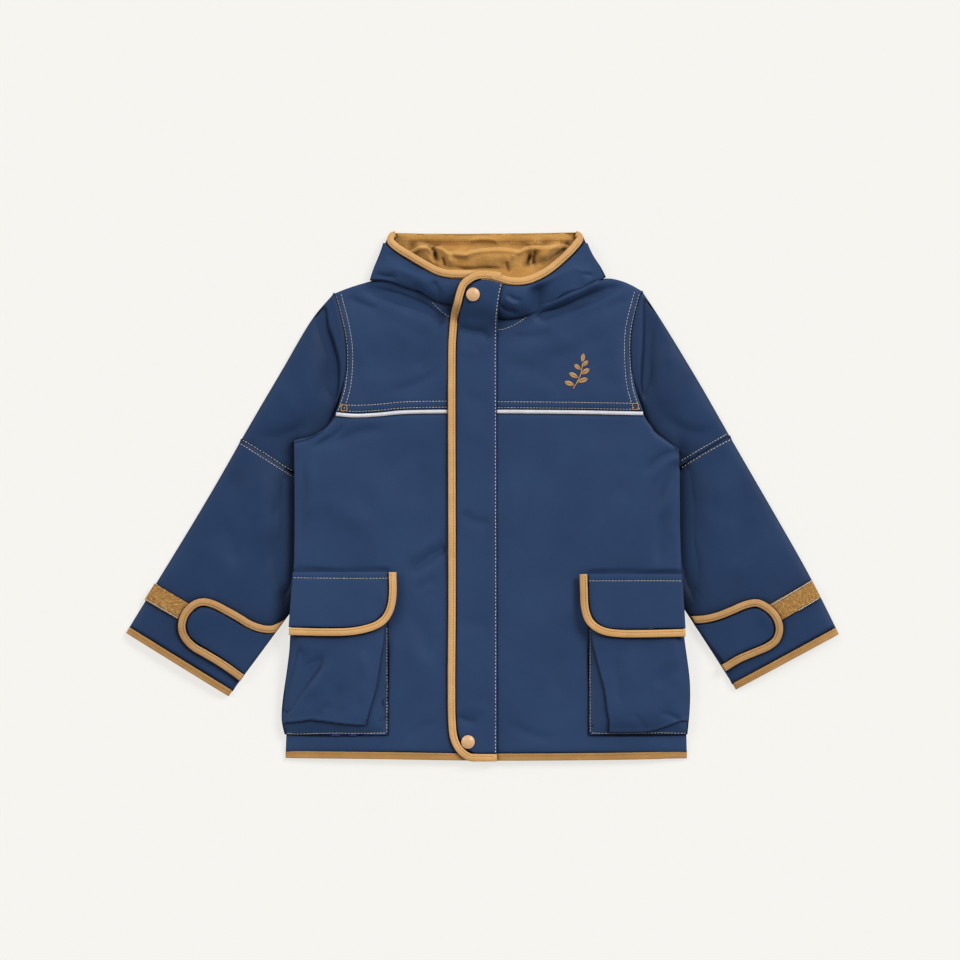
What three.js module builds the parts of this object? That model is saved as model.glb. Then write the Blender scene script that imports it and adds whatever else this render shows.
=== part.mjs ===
// A child's hooded parka, snapped shut and laid out flat on its back.
// Millimetres: x runs across the garment, y up it from the hem to the hood, z up from the surface it
// lies on. Right and left are the wearer's, so the right sleeve lies at negative x.
import * as THREE from "three";

// Cloth
const wall = 2.6; // shell and lining of the body, sleeves and hood, worked as one wall
const trimWall = 1.8; // storm flap, pockets and cuff tabs
const seam = 0.3; // between two pieces that are sewn edge to edge
const layer = 0.5; // between two pieces that lie on each other
const bindingWidth = 7.4;
const bindingProud = 0.6; // how far a binding stands above the cloth that it edges
const bindingCrown = 0.5; // how much rounder its middle is than its edges
const pipingWidth = 4;
const loopTape = 1.2; // thickness of the hook-and-loop tape on the cuffs
const snapRadius = 6.8;
const snapHeight = 2.6;

// Loft of the garment as it lies
const tuckedSleeve = 5.6; // the stretch of each sleeve that is pushed under the body
const sleeveLoft = 3.2; // what the free stretch of a sleeve stands above that
const bodyLoft = 3.6; // hollow between front and back in the middle of the body
const hemLoft = 2.6; // the same hollow at the hem
const pocketRise = 8; // how far a pocket bag stands off the front
const chinHeight = 27; // the hood's rim above the surface, at the chin
const cornerHeight = 11; // and where its two top corners lie

const middle = 2; // x of the line where the two fronts meet
const flapEdge = 14; // x of the storm flap's sewn edge

const navy = new THREE.MeshStandardMaterial({ color: 0x2e4262, roughness: 0.75 });
const gold = new THREE.MeshStandardMaterial({ color: 0xc8985a, roughness: 0.7 });
const fleece = new THREE.MeshStandardMaterial({ color: 0xc1914e, roughness: 0.95 });
const reflective = new THREE.MeshStandardMaterial({ color: 0xe6e4e6, roughness: 0.45 });
const loops = new THREE.MeshStandardMaterial({ color: 0x99703e, roughness: 1 });
const capMetal = new THREE.MeshStandardMaterial({ color: 0xd2a473, roughness: 0.45 });

const clamp = (value) => Math.min(1, Math.max(0, value));
const ease = (value) => clamp(value) ** 2 * (3 - 2 * clamp(value));
const mix = (from, to, share) => from + (to - from) * share;
const mixPoints = (from, to, share) => from.clone().lerp(to, share);

// A smooth line through a few [x, y] points, as a function of the share of its length.
function line(...points) {
  const through = points.map(([x, y]) => new THREE.Vector3(x, y, 0));
  const curve = new THREE.CatmullRomCurve3(through, false, "centripetal");
  return (share) => curve.getPointAt(clamp(share));
}

// Two lines end to end as one, the first taking up the given share.
const joined = (first, second, share) => (t) =>
  t <= share ? first(t / share) : second((t - share) / (1 - share));

const reversed = (path) => (t) => path(1 - t);

// The line moved sideways, to the right of the way it runs.
function aside(path, distance) {
  const step = 0.004;
  return (t) => {
    const way = path(clamp(t + step)).sub(path(clamp(t - step))).normalize();
    return path(t).add(new THREE.Vector3(way.y, -way.x, 0).multiplyScalar(distance));
  };
}

// The line eased over, so that it starts and ends at two given points.
function fitted(path, start, end) {
  const [first, last] = [start.clone().sub(path(0)), end.clone().sub(path(1))];
  return (t) => path(t).add(mixPoints(first, last, t));
}

// Points across a piece cut with four edges: bottom and top run left to right, left and right run up.
function cut({ bottom, top, left, right }) {
  const leftEdge = fitted(left, bottom(0), top(0));
  const rightEdge = fitted(right, bottom(1), top(1));
  return (u, v) => {
    const across = mixPoints(leftEdge(v), rightEdge(v), u);
    const up = mixPoints(bottom(u), top(u), v);
    const low = mixPoints(bottom(0), bottom(1), u);
    const high = mixPoints(top(0), top(1), u);
    return across.add(up).sub(mixPoints(low, high, v));
  };
}

// A strip of even width that follows a line; v runs across it, from its left side to its right.
function strip(path, width) {
  const left = aside(path, -width / 2);
  const right = aside(path, width / 2);
  return (u, v) => mixPoints(right(u), left(u), v);
}

function closedMesh(name, material, points, triangles) {
  const geometry = new THREE.BufferGeometry().setFromPoints(points);
  geometry.setIndex(triangles);
  geometry.computeVertexNormals();
  const mesh = new THREE.Mesh(geometry, material);
  mesh.name = name;
  return mesh;
}

// A sheet of cloth: a grid of points in plan, with the heights of its upper and lower face.
function sheet(name, material, plan, [across, up], upper, lower) {
  const points = [];
  const triangles = [];
  const row = across + 1;
  const face = row * (up + 1);
  for (const height of [upper, lower]) {
    for (let j = 0; j <= up; j++) {
      for (let i = 0; i <= across; i++) {
        const [u, v] = [i / across, j / up];
        const point = plan(u, v);
        points.push(point.setZ(height(point.x, point.y, u, v)));
      }
    }
  }
  const quad = (a, b, c, d) => triangles.push(a, b, c, a, c, d);
  for (let j = 0; j < up; j++) {
    for (let i = 0; i < across; i++) {
      const at = j * row + i;
      quad(at, at + 1, at + row + 1, at + row);
      quad(face + at + row, face + at + row + 1, face + at + 1, face + at);
    }
  }
  const rim = (a, b) => quad(a, face + a, face + b, b);
  for (let i = 0; i < across; i++) {
    rim(i, i + 1);
    rim(up * row + i + 1, up * row + i);
  }
  for (let j = 0; j < up; j++) {
    rim((j + 1) * row, j * row);
    rim(j * row + across, (j + 1) * row + across);
  }
  return closedMesh(name, material, points, triangles);
}

// The same solid with its faces turned round, for a plan that was drawn the other way round.
function turned(mesh) {
  mesh.geometry.index.array.reverse();
  return mesh;
}

// A flattened tube of cloth: loop(share along, share round, 0 outside or 1 inside) gives its points.
function tube(name, material, loop, [along, round]) {
  const points = [];
  const triangles = [];
  const skin = (along + 1) * round;
  for (const side of [0, 1]) {
    for (let j = 0; j <= along; j++) {
      for (let i = 0; i < round; i++) points.push(loop(j / along, i / round, side));
    }
  }
  const quad = (a, b, c, d) => triangles.push(a, b, c, a, c, d);
  for (let i = 0; i < round; i++) {
    const next = (i + 1) % round;
    for (let j = 0; j < along; j++) {
      const [here, there] = [j * round, (j + 1) * round];
      quad(here + i, there + i, there + next, here + next);
      quad(skin + here + next, skin + there + next, skin + there + i, skin + here + i);
    }
    const end = along * round;
    quad(i, next, skin + next, skin + i);
    quad(end + next, end + i, skin + end + i, skin + end + next);
  }
  return closedMesh(name, material, points, triangles);
}

// The height of the top of some pieces at a point, or of the highest facet within reach of it.
function topOf(meshes, reach = 2.5) {
  const facets = [];
  const triangle = new THREE.Triangle();
  const normal = new THREE.Vector3();
  for (const { geometry } of meshes) {
    const [position, index] = [geometry.attributes.position, geometry.index.array];
    for (let i = 0; i < index.length; i += 3) {
      triangle.setFromAttributeAndIndices(position, index[i], index[i + 1], index[i + 2]);
      if (triangle.getNormal(normal).z > 0.05) {
        const box = new THREE.Box3().setFromPoints([triangle.a, triangle.b, triangle.c]);
        facets.push({ box, plane: triangle.getPlane(new THREE.Plane()), triangle: triangle.clone() });
      }
    }
  }
  const foot = new THREE.Vector3();
  const heightAt = (x, y) => {
    let highest = -Infinity;
    for (const { box, plane, triangle: facet } of facets) {
      if (x < box.min.x || x > box.max.x || y < box.min.y || y > box.max.y) continue;
      const z = -(plane.constant + plane.normal.x * x + plane.normal.y * y) / plane.normal.z;
      if (z > highest && facet.containsPoint(foot.set(x, y, z))) highest = z;
    }
    return highest;
  };
  const steps = reach ? [-1, -0.5, 0, 0.5, 1] : [0];
  const offsets = steps.flatMap((i) => steps.map((j) => [i * reach, j * reach]));
  return (x, y) => Math.max(...offsets.map(([dx, dy]) => heightAt(x + dx, y + dy)));
}

// ---- Outlines, the same for front and back ----
const right = {
  shoulder: line([-149, 203], [-133, 209.5], [-112, 215.5]),
  armhole: line([-149, 203], [-139.5, 165], [-137, 140], [-139.5, 109], [-147, 84.5]),
  underarm: line([-147, 84.5], [-156, 67.5], [-168, 61.5], [-189, 56.5]),
  side: line([-197.5, -255], [-193.5, -150], [-189, -63], [-188.5, 10], [-189, 56.5]),
  neck: line([-112, 215.5], [-98, 220], [-86, 218], [-65, 211], [-43, 200], [middle - seam / 2, 190]),
  piping: line([-147, 82.3], [-128, 80.8], [-103, 82], [-83, 84], [-34, 85], [middle - seam / 2, 85]),
  hem: line([-197.5, -255], [-100, -256], [middle - seam / 2, -257.5]),
  center: (from, to) => line([middle - seam / 2, from], [middle - seam / 2, to]),
};
const left = {
  shoulder: line([123, 219.3], [138, 216.3], [152, 210.3], [159, 205.5]),
  armhole: line([159, 205.5], [150, 170], [148.5, 145], [151.5, 109], [160, 82.5]),
  underarm: line([160, 82.5], [168, 68.5], [180, 58.5], [196, 47.5]),
  side: line([204, -255.5], [201, -138], [197, -23], [197, 15], [196, 47.5]),
  neck: line([middle + seam / 2, 190], [24, 187], [48, 191], [84, 207], [123, 219.3]),
  piping: line([middle + seam / 2, 85], [40, 84.8], [100, 84.2], [160, 83]),
  hem: line([middle + seam / 2, -257.5], [110, -257], [204, -255.5]),
  center: (from, to) => line([middle + seam / 2, from], [middle + seam / 2, to]),
};

// ---- How high the body lies ----
// Where the inner edge of each sleeve runs under the body: x at a height y up the garment.
const tuckRight = line(
  [-232, -215], [-207, -160], [-191, -125], [-181, -108], [-143, -56], [-125, -14],
  [-135, 12], [-145, 40], [-147, 66], [-141, 84], [-146, 92], [-156, 102], [-172, 115], [-226, 138],
);
const tuckLeft = line(
  [242, -215], [216, -160], [200, -125], [190, -104], [157, -54], [133, -8],
  [147, 14], [157, 40], [159, 64], [154, 82], [159, 90], [168, 100], [184, 113], [240, 136],
);

// The x of a line at a height y.
function crossing(path) {
  const rows = Array.from({ length: 121 }, (_, i) => path(i / 120));
  return (y) => {
    const above = rows.findIndex((row) => row.y > y);
    if (above <= 0) return above ? rows.at(-1).x : rows[0].x;
    const [low, high] = [rows[above - 1], rows[above]];
    return mix(low.x, high.x, (y - low.y) / (high.y - low.y));
  };
}
const tuckEdge = { right: crossing(tuckRight), left: crossing(tuckLeft) };

// The body rides up over the sleeves, and comes down again a little way inside them.
const tuckFade = 30;
function lift(x, y) {
  const inwards = x < middle ? x - tuckEdge.right(y) : tuckEdge.left(y) - x;
  return (tuckedSleeve + layer + 0.3) * ease(1 - (inwards - 4) / tuckFade);
}

// Long soft folds: a ridge or, below zero, a trough that runs between two points.
function folds(table, x, y) {
  return table.reduce((sum, { from, to, width, height }) => {
    const along = [to[0] - from[0], to[1] - from[1]];
    const span = along[0] ** 2 + along[1] ** 2;
    const share = clamp(((x - from[0]) * along[0] + (y - from[1]) * along[1]) / span);
    const away = Math.hypot(x - from[0] - share * along[0], y - from[1] - share * along[1]);
    const taper = 0.35 + 0.65 * Math.sin(Math.PI * mix(0.1, 0.9, share));
    return sum + height * taper * Math.exp(-((away / width) ** 2));
  }, 0);
}

const frontFolds = [
  { from: [-133, 196], to: [-62, 178], width: 13, height: -2.6 },
  { from: [-96, 176], to: [-36, 156], width: 13, height: 1 },
  { from: [60, 172], to: [128, 200], width: 12, height: -2.4 },
  { from: [-176, 42], to: [-110, 74], width: 11, height: -2 },
  { from: [-150, 70], to: [-60, 104], width: 16, height: 1 },
  { from: [170, 40], to: [104, 26], width: 14, height: 1 },
  { from: [-176, 30], to: [-178, -50], width: 9, height: -1.3 },
  { from: [-84, -62], to: [-44, -20], width: 14, height: -1.5 },
  { from: [60, -190], to: [30, -236], width: 13, height: -1.2 },
];

// Upper face of the fronts.
function frontTop(x, y) {
  const raised = lift(x, y);
  const loft = mix(hemLoft, bodyLoft, ease((y + 262) / 90)) * (1 - (0.7 * raised) / tuckedSleeve);
  const halfWidth = mix(201, 194, ease((y + 200) / 180));
  const sideways = 1 - Math.min(1, Math.abs((x - 4) / halfWidth)) ** 8;
  const shoulder = mix(1, ease((214 - y) / 40), ease((Math.abs(x - 4) - 84) / 26));
  const hollow = Math.max(0, loft * sideways * shoulder + folds(frontFolds, x, y));
  return raised + 2 * wall + seam + hollow;
}

const pieces = [];
const add = (mesh) => {
  pieces.push(mesh);
  return mesh;
};

// ---- Back and fronts ----
const besideArm = (side) => reversed(joined(side.armhole, side.underarm, 0.7));
const wholeSide = (side) => joined(side.side, besideArm(side), 16 / 26);
const backNeck = line([-112, 215.5], [-60, 209], [4, 207], [70, 210], [123, 219.3]);
const fromRight = joined(right.shoulder, backNeck, 0.16);
const back = add(
  sheet(
    "back",
    navy,
    cut({
      bottom: line([-197.5, -255], [-100, -256], [middle, -257.5], [110, -257], [204, -255.5]),
      top: joined(fromRight, left.shoulder, 0.88),
      left: wholeSide(right),
      right: wholeSide(left),
    }),
    [18, 26],
    (x, y) => lift(x, y) + wall,
    (x, y) => lift(x, y),
  ),
);

const backFace = topOf([back], 14);
const frontUnder = (x, y) => {
  const highest = Math.max(backFace(x, y), backFace(0.99 * x, y)); // the second stays inside the edge
  return Math.max(frontTop(x, y) - wall, highest + seam);
};
const frontPanel = (name, plan, cells) =>
  add(sheet(name, navy, plan, cells, (x, y) => frontUnder(x, y) + wall, frontUnder));

// The yoke and the lower front stop short of the piping that is sewn between them.
const clear = pipingWidth / 2 + seam / 2;
const up = (path, distance) => (t) => path(t).add(new THREE.Vector3(0, distance, 0));
const fronts = [
  frontPanel(
    "front_yoke_right",
    cut({
      bottom: up(right.piping, clear),
      top: joined(right.shoulder, right.neck, 0.25),
      left: reversed(right.armhole),
      right: right.center(85 + clear, 190),
    }),
    [12, 9],
  ),
  frontPanel(
    "front_yoke_left",
    cut({
      bottom: up(left.piping, clear),
      top: joined(left.neck, left.shoulder, 0.75),
      left: left.center(85 + clear, 190),
      right: reversed(left.armhole),
    }),
    [12, 9],
  ),
  frontPanel(
    "front_lower_right",
    cut({
      bottom: right.hem,
      top: up(right.piping, -clear),
      left: joined(right.side, reversed(right.underarm), 12 / 14),
      right: right.center(-257.5, 85 - clear),
    }),
    [12, 14],
  ),
  frontPanel(
    "front_lower_left",
    cut({
      bottom: left.hem,
      top: up(left.piping, -clear),
      left: left.center(-257.5, 85 - clear),
      right: joined(left.side, reversed(left.underarm), 12 / 14),
    }),
    [12, 14],
  ),
];

// A narrow band sewn along a line, standing a little proud of the cloth whose height is given.
function band(name, material, path, width, cloth, cells, thick = wall, proud = bindingProud) {
  const crown = (v) => bindingCrown * Math.sin(Math.PI * v);
  const top = (x, y, u, v) => cloth(x, y) + proud + crown(v);
  return add(sheet(name, material, strip(path, width), [cells, 2], top, (x, y) => cloth(x, y) - thick));
}
const piping = [
  band("reflective_piping_right", reflective, right.piping, pipingWidth, frontTop, 12, wall, 0.1),
  band("reflective_piping_left", reflective, left.piping, pipingWidth, frontTop, 12, wall, 0.1),
];

// ---- Sleeves: rows run from the armhole to the cuff, outer and inner edge in plan ----
const sleeveRows = {
  right: [
    { outer: [-150, 203], inner: [-148.2, 84.2] },
    { outer: [-171, 179], inner: [-152, 64] },
    { outer: [-196, 136], inner: [-150, 40] },
    { outer: [-220, 95.5], inner: [-141, 12] },
    { outer: [-242.5, 57], inner: [-130, -14] },
    { outer: [-266.8, 14], inner: [-148, -56] },
    { outer: [-299, -40], inner: [-186, -108] },
    { outer: [-328.5, -88], inner: [-219, -153] },
    { outer: [-357.5, -135.8], inner: [-254, -199.8] },
  ],
  left: [
    { outer: [160, 205], inner: [161.2, 82.2] },
    { outer: [176, 181], inner: [165, 62] },
    { outer: [197, 147], inner: [163, 40] },
    { outer: [221, 107], inner: [152, 14] },
    { outer: [247.5, 60.5], inner: [138, -8] },
    { outer: [275, 13], inner: [162, -54] },
    { outer: [307, -42.5], inner: [195, -104] },
    { outer: [330, -83.5], inner: [221.5, -144.5] },
    { outer: [356.5, -137], inner: [252.5, -193] },
  ],
};
const elbow = 0.5; // share of the rows at which the elbow seam lies
const cuffBand = 0.9865; // and where the cuff's binding begins
const cuffGap = 0.0006;
const sleeveFolds = [
  { from: [-155, 190], to: [-153, 116], width: 9, height: -4.2 },
  { from: [-153, 116], to: [-172, 72], width: 11, height: -4.2 },
  { from: [-146, 178], to: [-144, 108], width: 6, height: 1.6 },
  { from: [166, 192], to: [168, 108], width: 7, height: -4.2 },
  { from: [168, 104], to: [184, 62], width: 9, height: -4 },
  { from: [-222, 96], to: [-200, 52], width: 14, height: 0.6 },
  { from: [-262, -26], to: [-236, -108], width: 15, height: 0.7 },
  { from: [226, 92], to: [212, 40], width: 14, height: 0.6 },
  { from: [262, -30], to: [246, -104], width: 15, height: 0.7 },
];

// A sleeve is full where it lies free, and flat where the body lies on it.
const bodyEdge = {
  right: crossing(line([-197, -260], [-189, 0], [-189, 56], [-168, 62], [-156, 68], [-147, 84.5])),
  left: crossing(line([204, -260], [197, 0], [196, 48], [180, 59], [168, 69], [160, 82.5])),
};
function sleeveTop(side, x, y) {
  const out = side === "right" ? bodyEdge.right(y) - x : x - bodyEdge.left(y);
  const free = ease((out - 18) / 26);
  const open = y > 94 ? mix(free, 1, ease((y - 94) / 20)) : free;
  return tuckedSleeve + Math.max(0, sleeveLoft + folds(sleeveFolds, x, y)) * open;
}

// Plan of a sleeve; its first rows still bow out along the armhole.
function sleevePlan(side) {
  const rows = sleeveRows[side];
  const outer = new THREE.CatmullRomCurve3(rows.map((row) => new THREE.Vector3(...row.outer, 0)));
  const inner = new THREE.CatmullRomCurve3(rows.map((row) => new THREE.Vector3(...row.inner, 0)));
  const armhole = aside({ right, left }[side].armhole, side === "right" ? 1.2 : -1.2);
  return (s, u) => {
    const chord = mixPoints(outer.getPoint(s), inner.getPoint(s), u);
    const bow = armhole(u).sub(mixPoints(armhole(0), armhole(1), u));
    return chord.add(bow.multiplyScalar(clamp(1 - s / 0.34) ** 1.6));
  };
}

// One stretch of a sleeve, between two shares of its rows.
function sleevePiece(name, side, material, [from, to], along, thick, proud = 0) {
  const plan = sleevePlan(side);
  const loop = (share, round, inside) => {
    const s = mix(from, to, share);
    const angle = (side === "right" ? 2 : -2) * Math.PI * round;
    const inset = inside * (thick / plan(s, 0).distanceTo(plan(s, 1)));
    const point = plan(s, mix(inset, 1 - inset, (1 - Math.cos(angle)) / 2));
    const belly = tuckedSleeve / 2;
    const above = sleeveTop(side, point.x, point.y) + proud - belly - inside * thick;
    const below = inside * thick - belly;
    const fullness = Math.abs(Math.sin(angle)) ** 0.5;
    return point.setZ(belly + fullness * (Math.sin(angle) > 0 ? above : below));
  };
  return add(tube(name, material, loop, [along, 28]));
}

function makeSleeve(side) {
  const shoulderToElbow = [0, elbow - cuffGap];
  const elbowToCuff = [elbow + cuffGap, cuffBand - cuffGap];
  return {
    upper: sleevePiece(`sleeve_upper_${side}`, side, navy, shoulderToElbow, 8, wall),
    lower: sleevePiece(`sleeve_lower_${side}`, side, navy, elbowToCuff, 6, wall),
    cuff: sleevePiece(`cuff_binding_${side}`, side, gold, [cuffBand + cuffGap, 1], 1, wall, bindingProud),
  };
}
const sleeves = { right: makeSleeve("right"), left: makeSleeve("left") };

// ---- Hem binding, all the way round ----
const hemLine = line([-198.3, -255], [-100, -256], [middle, -257.5], [110, -257], [204.8, -255.5]);
function hemRing(share, round, inside) {
  const angle = 2 * Math.PI * round;
  const across = (1 - Math.cos(angle)) / 2;
  const point = hemLine(across);
  point.x += (0.5 - across) * 2 * inside * wall;
  point.y -= mix(seam, seam + bindingWidth - 0.9, share);
  const belly = wall;
  const above = frontTop(point.x, point.y) + bindingProud - 0.3 * share - belly - inside * wall;
  const below = inside * wall - belly;
  const fullness = Math.abs(Math.sin(angle)) ** 0.35;
  return point.setZ(belly + fullness * (Math.sin(angle) > 0 ? above : below));
}
const hemBinding = add(tube("hem_binding", gold, hemRing, [1, 48]));

// ---- What lies on a sleeve or a front ----
function lyingOn(meshes, thick, reach = 6) {
  const under = topOf(meshes, reach);
  return {
    top: (x, y) => under(x, y) + layer + thick,
    bottom: (x, y) => under(x, y) + layer,
  };
}

// A binding that edges a piece: as thick as the piece, and a little more on top.
function edging(name, path, lie, cells, width = bindingWidth) {
  const top = (x, y, u, v) => lie.top(x, y) + bindingProud + bindingCrown * Math.sin(Math.PI * v);
  return add(sheet(name, gold, strip(path, width), [cells, 2], top, lie.bottom));
}
const besideBinding = bindingWidth / 2 + layer;
const stretch = (path, from, to) => (t) => path(mix(from, to, t));

// ---- Cuff tabs on their loop tape ----
const cuffTabs = {
  right: {
    tape: {
      bottom: line([-337, -104.5], [-291, -131]),
      top: line([-327.5, -87.5], [-281, -115]),
      left: line([-337, -104.5], [-327.5, -87.5]),
      right: line([-291, -131], [-281, -115]),
    },
    edge: line(
      [-202, -129.5], [-212, -133], [-223, -131.8], [-234, -127.5], [-244, -121.3], [-256.5, -114.3],
      [-269, -108], [-278.5, -105.5], [-286.5, -107], [-294, -112.5], [-299, -120], [-301.2, -130],
      [-299, -139.5], [-290.5, -149.5], [-278, -157], [-263, -166], [-251.5, -173.8], [-241, -181.5],
    ),
    tip: [0.4, 0.66],
  },
  left: {
    tape: {
      bottom: line([338, -101], [291, -128]),
      top: line([329, -84], [281, -111]),
      left: line([338, -101], [329, -84]),
      right: line([291, -128], [281, -111]),
    },
    edge: line(
      [210, -123.5], [223, -122.5], [235, -119.5], [249, -114], [262, -108.5], [274, -106.5],
      [283, -110.5], [290.5, -117], [295, -125], [296.3, -134], [293, -143.5], [285, -150],
      [270, -156.5], [256, -162.5], [243.5, -170],
    ),
    tip: [0.36, 0.66],
  },
};

function makeCuffTab(side) {
  const { tape, edge, tip } = cuffTabs[side];
  const { lower, cuff } = sleeves[side];
  const tapeLie = lyingOn([lower], loopTape, 1.5);
  const strips = sheet(`loop_strip_${side}`, loops, cut(tape), [6, 3], tapeLie.top, tapeLie.bottom);
  add(side === "right" ? strips : turned(strips));
  const lie = lyingOn([lower, cuff, strips], trimWall);
  const inner = aside(edge, side === "right" ? besideBinding * -1 : besideBinding);
  const [first, last] = tip;
  const plan = cut({
    bottom: stretch(inner, 1, last),
    top: stretch(inner, 0, first),
    left: line([inner(1).x, inner(1).y], [inner(0).x, inner(0).y]),
    right: stretch(inner, last, first),
  });
  const tab = sheet(`cuff_tab_${side}`, navy, plan, [8, 5], lie.top, lie.bottom);
  add(side === "right" ? turned(tab) : tab);
  edging(`cuff_tab_binding_${side}`, edge, lie, 22);
}
makeCuffTab("right");
makeCuffTab("left");

// ---- Pockets: a bellows bag on each front, under a flap ----
const pockets = {
  right: {
    bottom: line([-198.5, -238], [-150, -239.5], [-95, -238.5]),
    top: line([-189, -84], [-95, -84]),
    outside: line([-198.5, -238], [-202, -222], [-200.5, -203], [-196, -174], [-193, -149], [-189, -84]),
    inside: line([-95, -238.5], [-95, -84]),
    flapTop: line([-188.8, -75.5], [-94.2, -75.2]),
    edge: line([-90.3, -75.5], [-90.3, -100], [-93, -113], [-98, -122], [-105, -127.6], [-115, -131.5],
      [-133, -134.8], [-160, -135.3], [-193, -134.5]),
    round: [0.25, 0.46],
  },
  left: {
    bottom: line([204.5, -238], [150, -239], [106, -238.5]),
    top: line([197.5, -84], [106, -84]),
    outside: line([204.5, -238], [207, -213], [207.5, -188], [206, -173], [202, -149], [197.5, -84]),
    inside: line([106, -238.5], [106, -84]),
    flapTop: line([195.5, -77.5], [104.5, -77.2]),
    edge: line([100.3, -77.5], [100.8, -95], [101.7, -111], [105.5, -123], [112, -130], [122, -134.8],
      [137, -136.8], [157, -137], [199, -136]),
    round: [0.25, 0.46],
  },
};

// How far the bag stands off the front: u runs in from the side seam, v up from its foot. Its gusset
// shows as a slope along the foot and along the inner edge, where it widens downwards.
function bagRise(u, v) {
  const gusset = mix(0.24, 0.06, ease(v / 0.7));
  const stands = Math.min(ease(u / 0.1), ease((1 - u) / gusset), ease(v / 0.1));
  return 0.2 + pocketRise * stands * (0.82 + 0.18 * Math.sin(Math.PI * u)) * mix(1, 0.7, v ** 2);
}

function makePocket(side) {
  const { bottom, top, outside, inside, flapTop, edge, round } = pockets[side];
  const drawn = (mesh) => add(side === "right" ? mesh : turned(mesh));
  const front = topOf(fronts, 6);
  const plan = cut({ bottom, top, left: outside, right: inside });
  const columns = [0, 0.05, 0.1, 0.22, 0.36, 0.5, 0.64, 0.76, 0.86, 0.94, 1];
  const rows = [0, 0.05, 0.1, 0.2, 0.34, 0.48, 0.6, 0.7, 0.8, 0.9, 1];
  const spaced = (u, v) => [columns[Math.round(u * 10)], rows[Math.round(v * 10)]];
  const lining = (x, y, u, v) => front(x, y) + layer + bagRise(...spaced(u, v));
  const bag = drawn(
    sheet(
      `pocket_bag_${side}`,
      navy,
      (u, v) => plan(...spaced(u, v)),
      [10, 10],
      (x, y, u, v) => lining(x, y, u, v) + trimWall,
      lining,
    ),
  );
  const lie = lyingOn([...fronts, bag], trimWall, 10);
  const inner = aside(edge, side === "right" ? besideBinding : -besideBinding);
  const [roundTop, roundEnd] = round;
  const flapPlan = cut({
    bottom: stretch(inner, 1, roundEnd),
    top: flapTop,
    left: line([inner(1).x, inner(1).y], [flapTop(0).x, flapTop(0).y]),
    right: joined(stretch(inner, roundEnd, roundTop), stretch(inner, roundTop, 0), 0.5),
  });
  drawn(sheet(`pocket_flap_${side}`, navy, flapPlan, [10, 7], lie.top, lie.bottom));
  edging(`flap_binding_${side}`, edge, lie, 22);
}
makePocket("right");
makePocket("left");

// ---- Hood: it lies open upwards, with its crown bunched up inside ----
const hoodEdges = {
  right: {
    rim: line([-95.2, 259.3], [-92.3, 255], [-89, 251.5], [-84, 247.6], [-75.5, 242.3], [-65.5, 236.3],
      [-55.5, 230.5], [-46.5, 225.8], [-38, 223], [-28, 222.2], [-8, 221.8], [6, 221.4], [18, 219.6]),
    foot: line([-113.5, 216], [-98, 216.2], [-86, 213.2], [-78, 208.5], [-65, 205.5], [-55, 200.5],
      [-43, 192.5], [-34, 192.3], [-20, 188], [middle - seam / 2, 182]),
    outline: line([-113.5, 216], [-110, 226.5], [-103.5, 240.5], [-99.5, 251], [-98, 256]),
  },
  left: {
    rim: line([23.5, 215.9], [29, 215], [38, 215], [46, 216.5], [54.5, 220], [63.5, 225], [72, 231.5],
      [82, 240.3], [91, 249.5], [96, 255.5], [99.2, 260]),
    foot: line([middle + seam / 2, 181], [17, 177.5], [32, 177.5], [44, 180.5], [52, 183.5], [67, 191.5],
      [87, 201.5], [107, 209.5], [123, 219.5]),
    outline: line([123, 219.5], [118.5, 228.5], [110, 240.5], [104.5, 252.5], [103, 256]),
  },
};
const rimHeight = (x) => mix(chinHeight, cornerHeight, ease((Math.abs(x - 4) - 16) / 84));
const sideTop = topOf(fronts, 5);

function hoodSide(side) {
  const { rim, foot, outline } = hoodEdges[side];
  const isRight = side === "right";
  const besideRim = aside(rim, besideBinding + 0.3);
  const toChin = line([middle + seam / 2, 216.5], [21.5, 212.4]);
  const plan = cut({
    bottom: foot,
    top: isRight ? stretch(besideRim, 0, 0.84) : joined(toChin, besideRim, 0.18),
    left: isRight ? outline : line([middle, 181], [middle, 216.5]),
    right: isRight ? line([middle, 182], [-8, 217.2]) : outline,
  });
  // Columns stand closer together at the outer edge, where the hood turns down to its back.
  const inside = (u) => [0, 0.025, 0.09, 0.18, 0.28, 0.38, 0.49, 0.6, 0.7, 0.8, 0.9, 1][Math.round(u * 11)];
  const spaced = (u) => (isRight ? inside(u) : 1 - inside(1 - u));
  const top = (x, y, u, v) => {
    const start = foot(spaced(u));
    const inwards = isRight ? spaced(u) : 1 - spaced(u);
    const low = Math.max(sideTop(start.x, start.y), wall) + layer + wall;
    const puff = 3.5 * Math.sin(Math.PI * v ** 0.7) * ease(inwards / 0.25);
    const risen = mix(low, rimHeight(x), Math.sin((Math.PI / 2) * v) ** 0.8) + puff;
    return Math.max(risen, sideTop(x, y) + layer + wall);
  };
  const bottom = (x, y, u, v) => {
    const atOutline = isRight ? u === 0 : u === 1;
    const down = atOutline ? ease((v - 0.1) / 0.4) : 0;
    return mix(top(x, y, u, v) - wall, wall + seam, down);
  };
  return add(sheet(`hood_side_${side}`, navy, (u, v) => plan(spaced(u), v), [11, 6], top, bottom));
}
const hoodSides = [hoodSide("right"), hoodSide("left")];

const hoodRims = ["right", "left"].map((side) =>
  band(`hood_binding_${side}`, gold, hoodEdges[side].rim, bindingWidth, rimHeight, 16, wall + 0.6),
);

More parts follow.
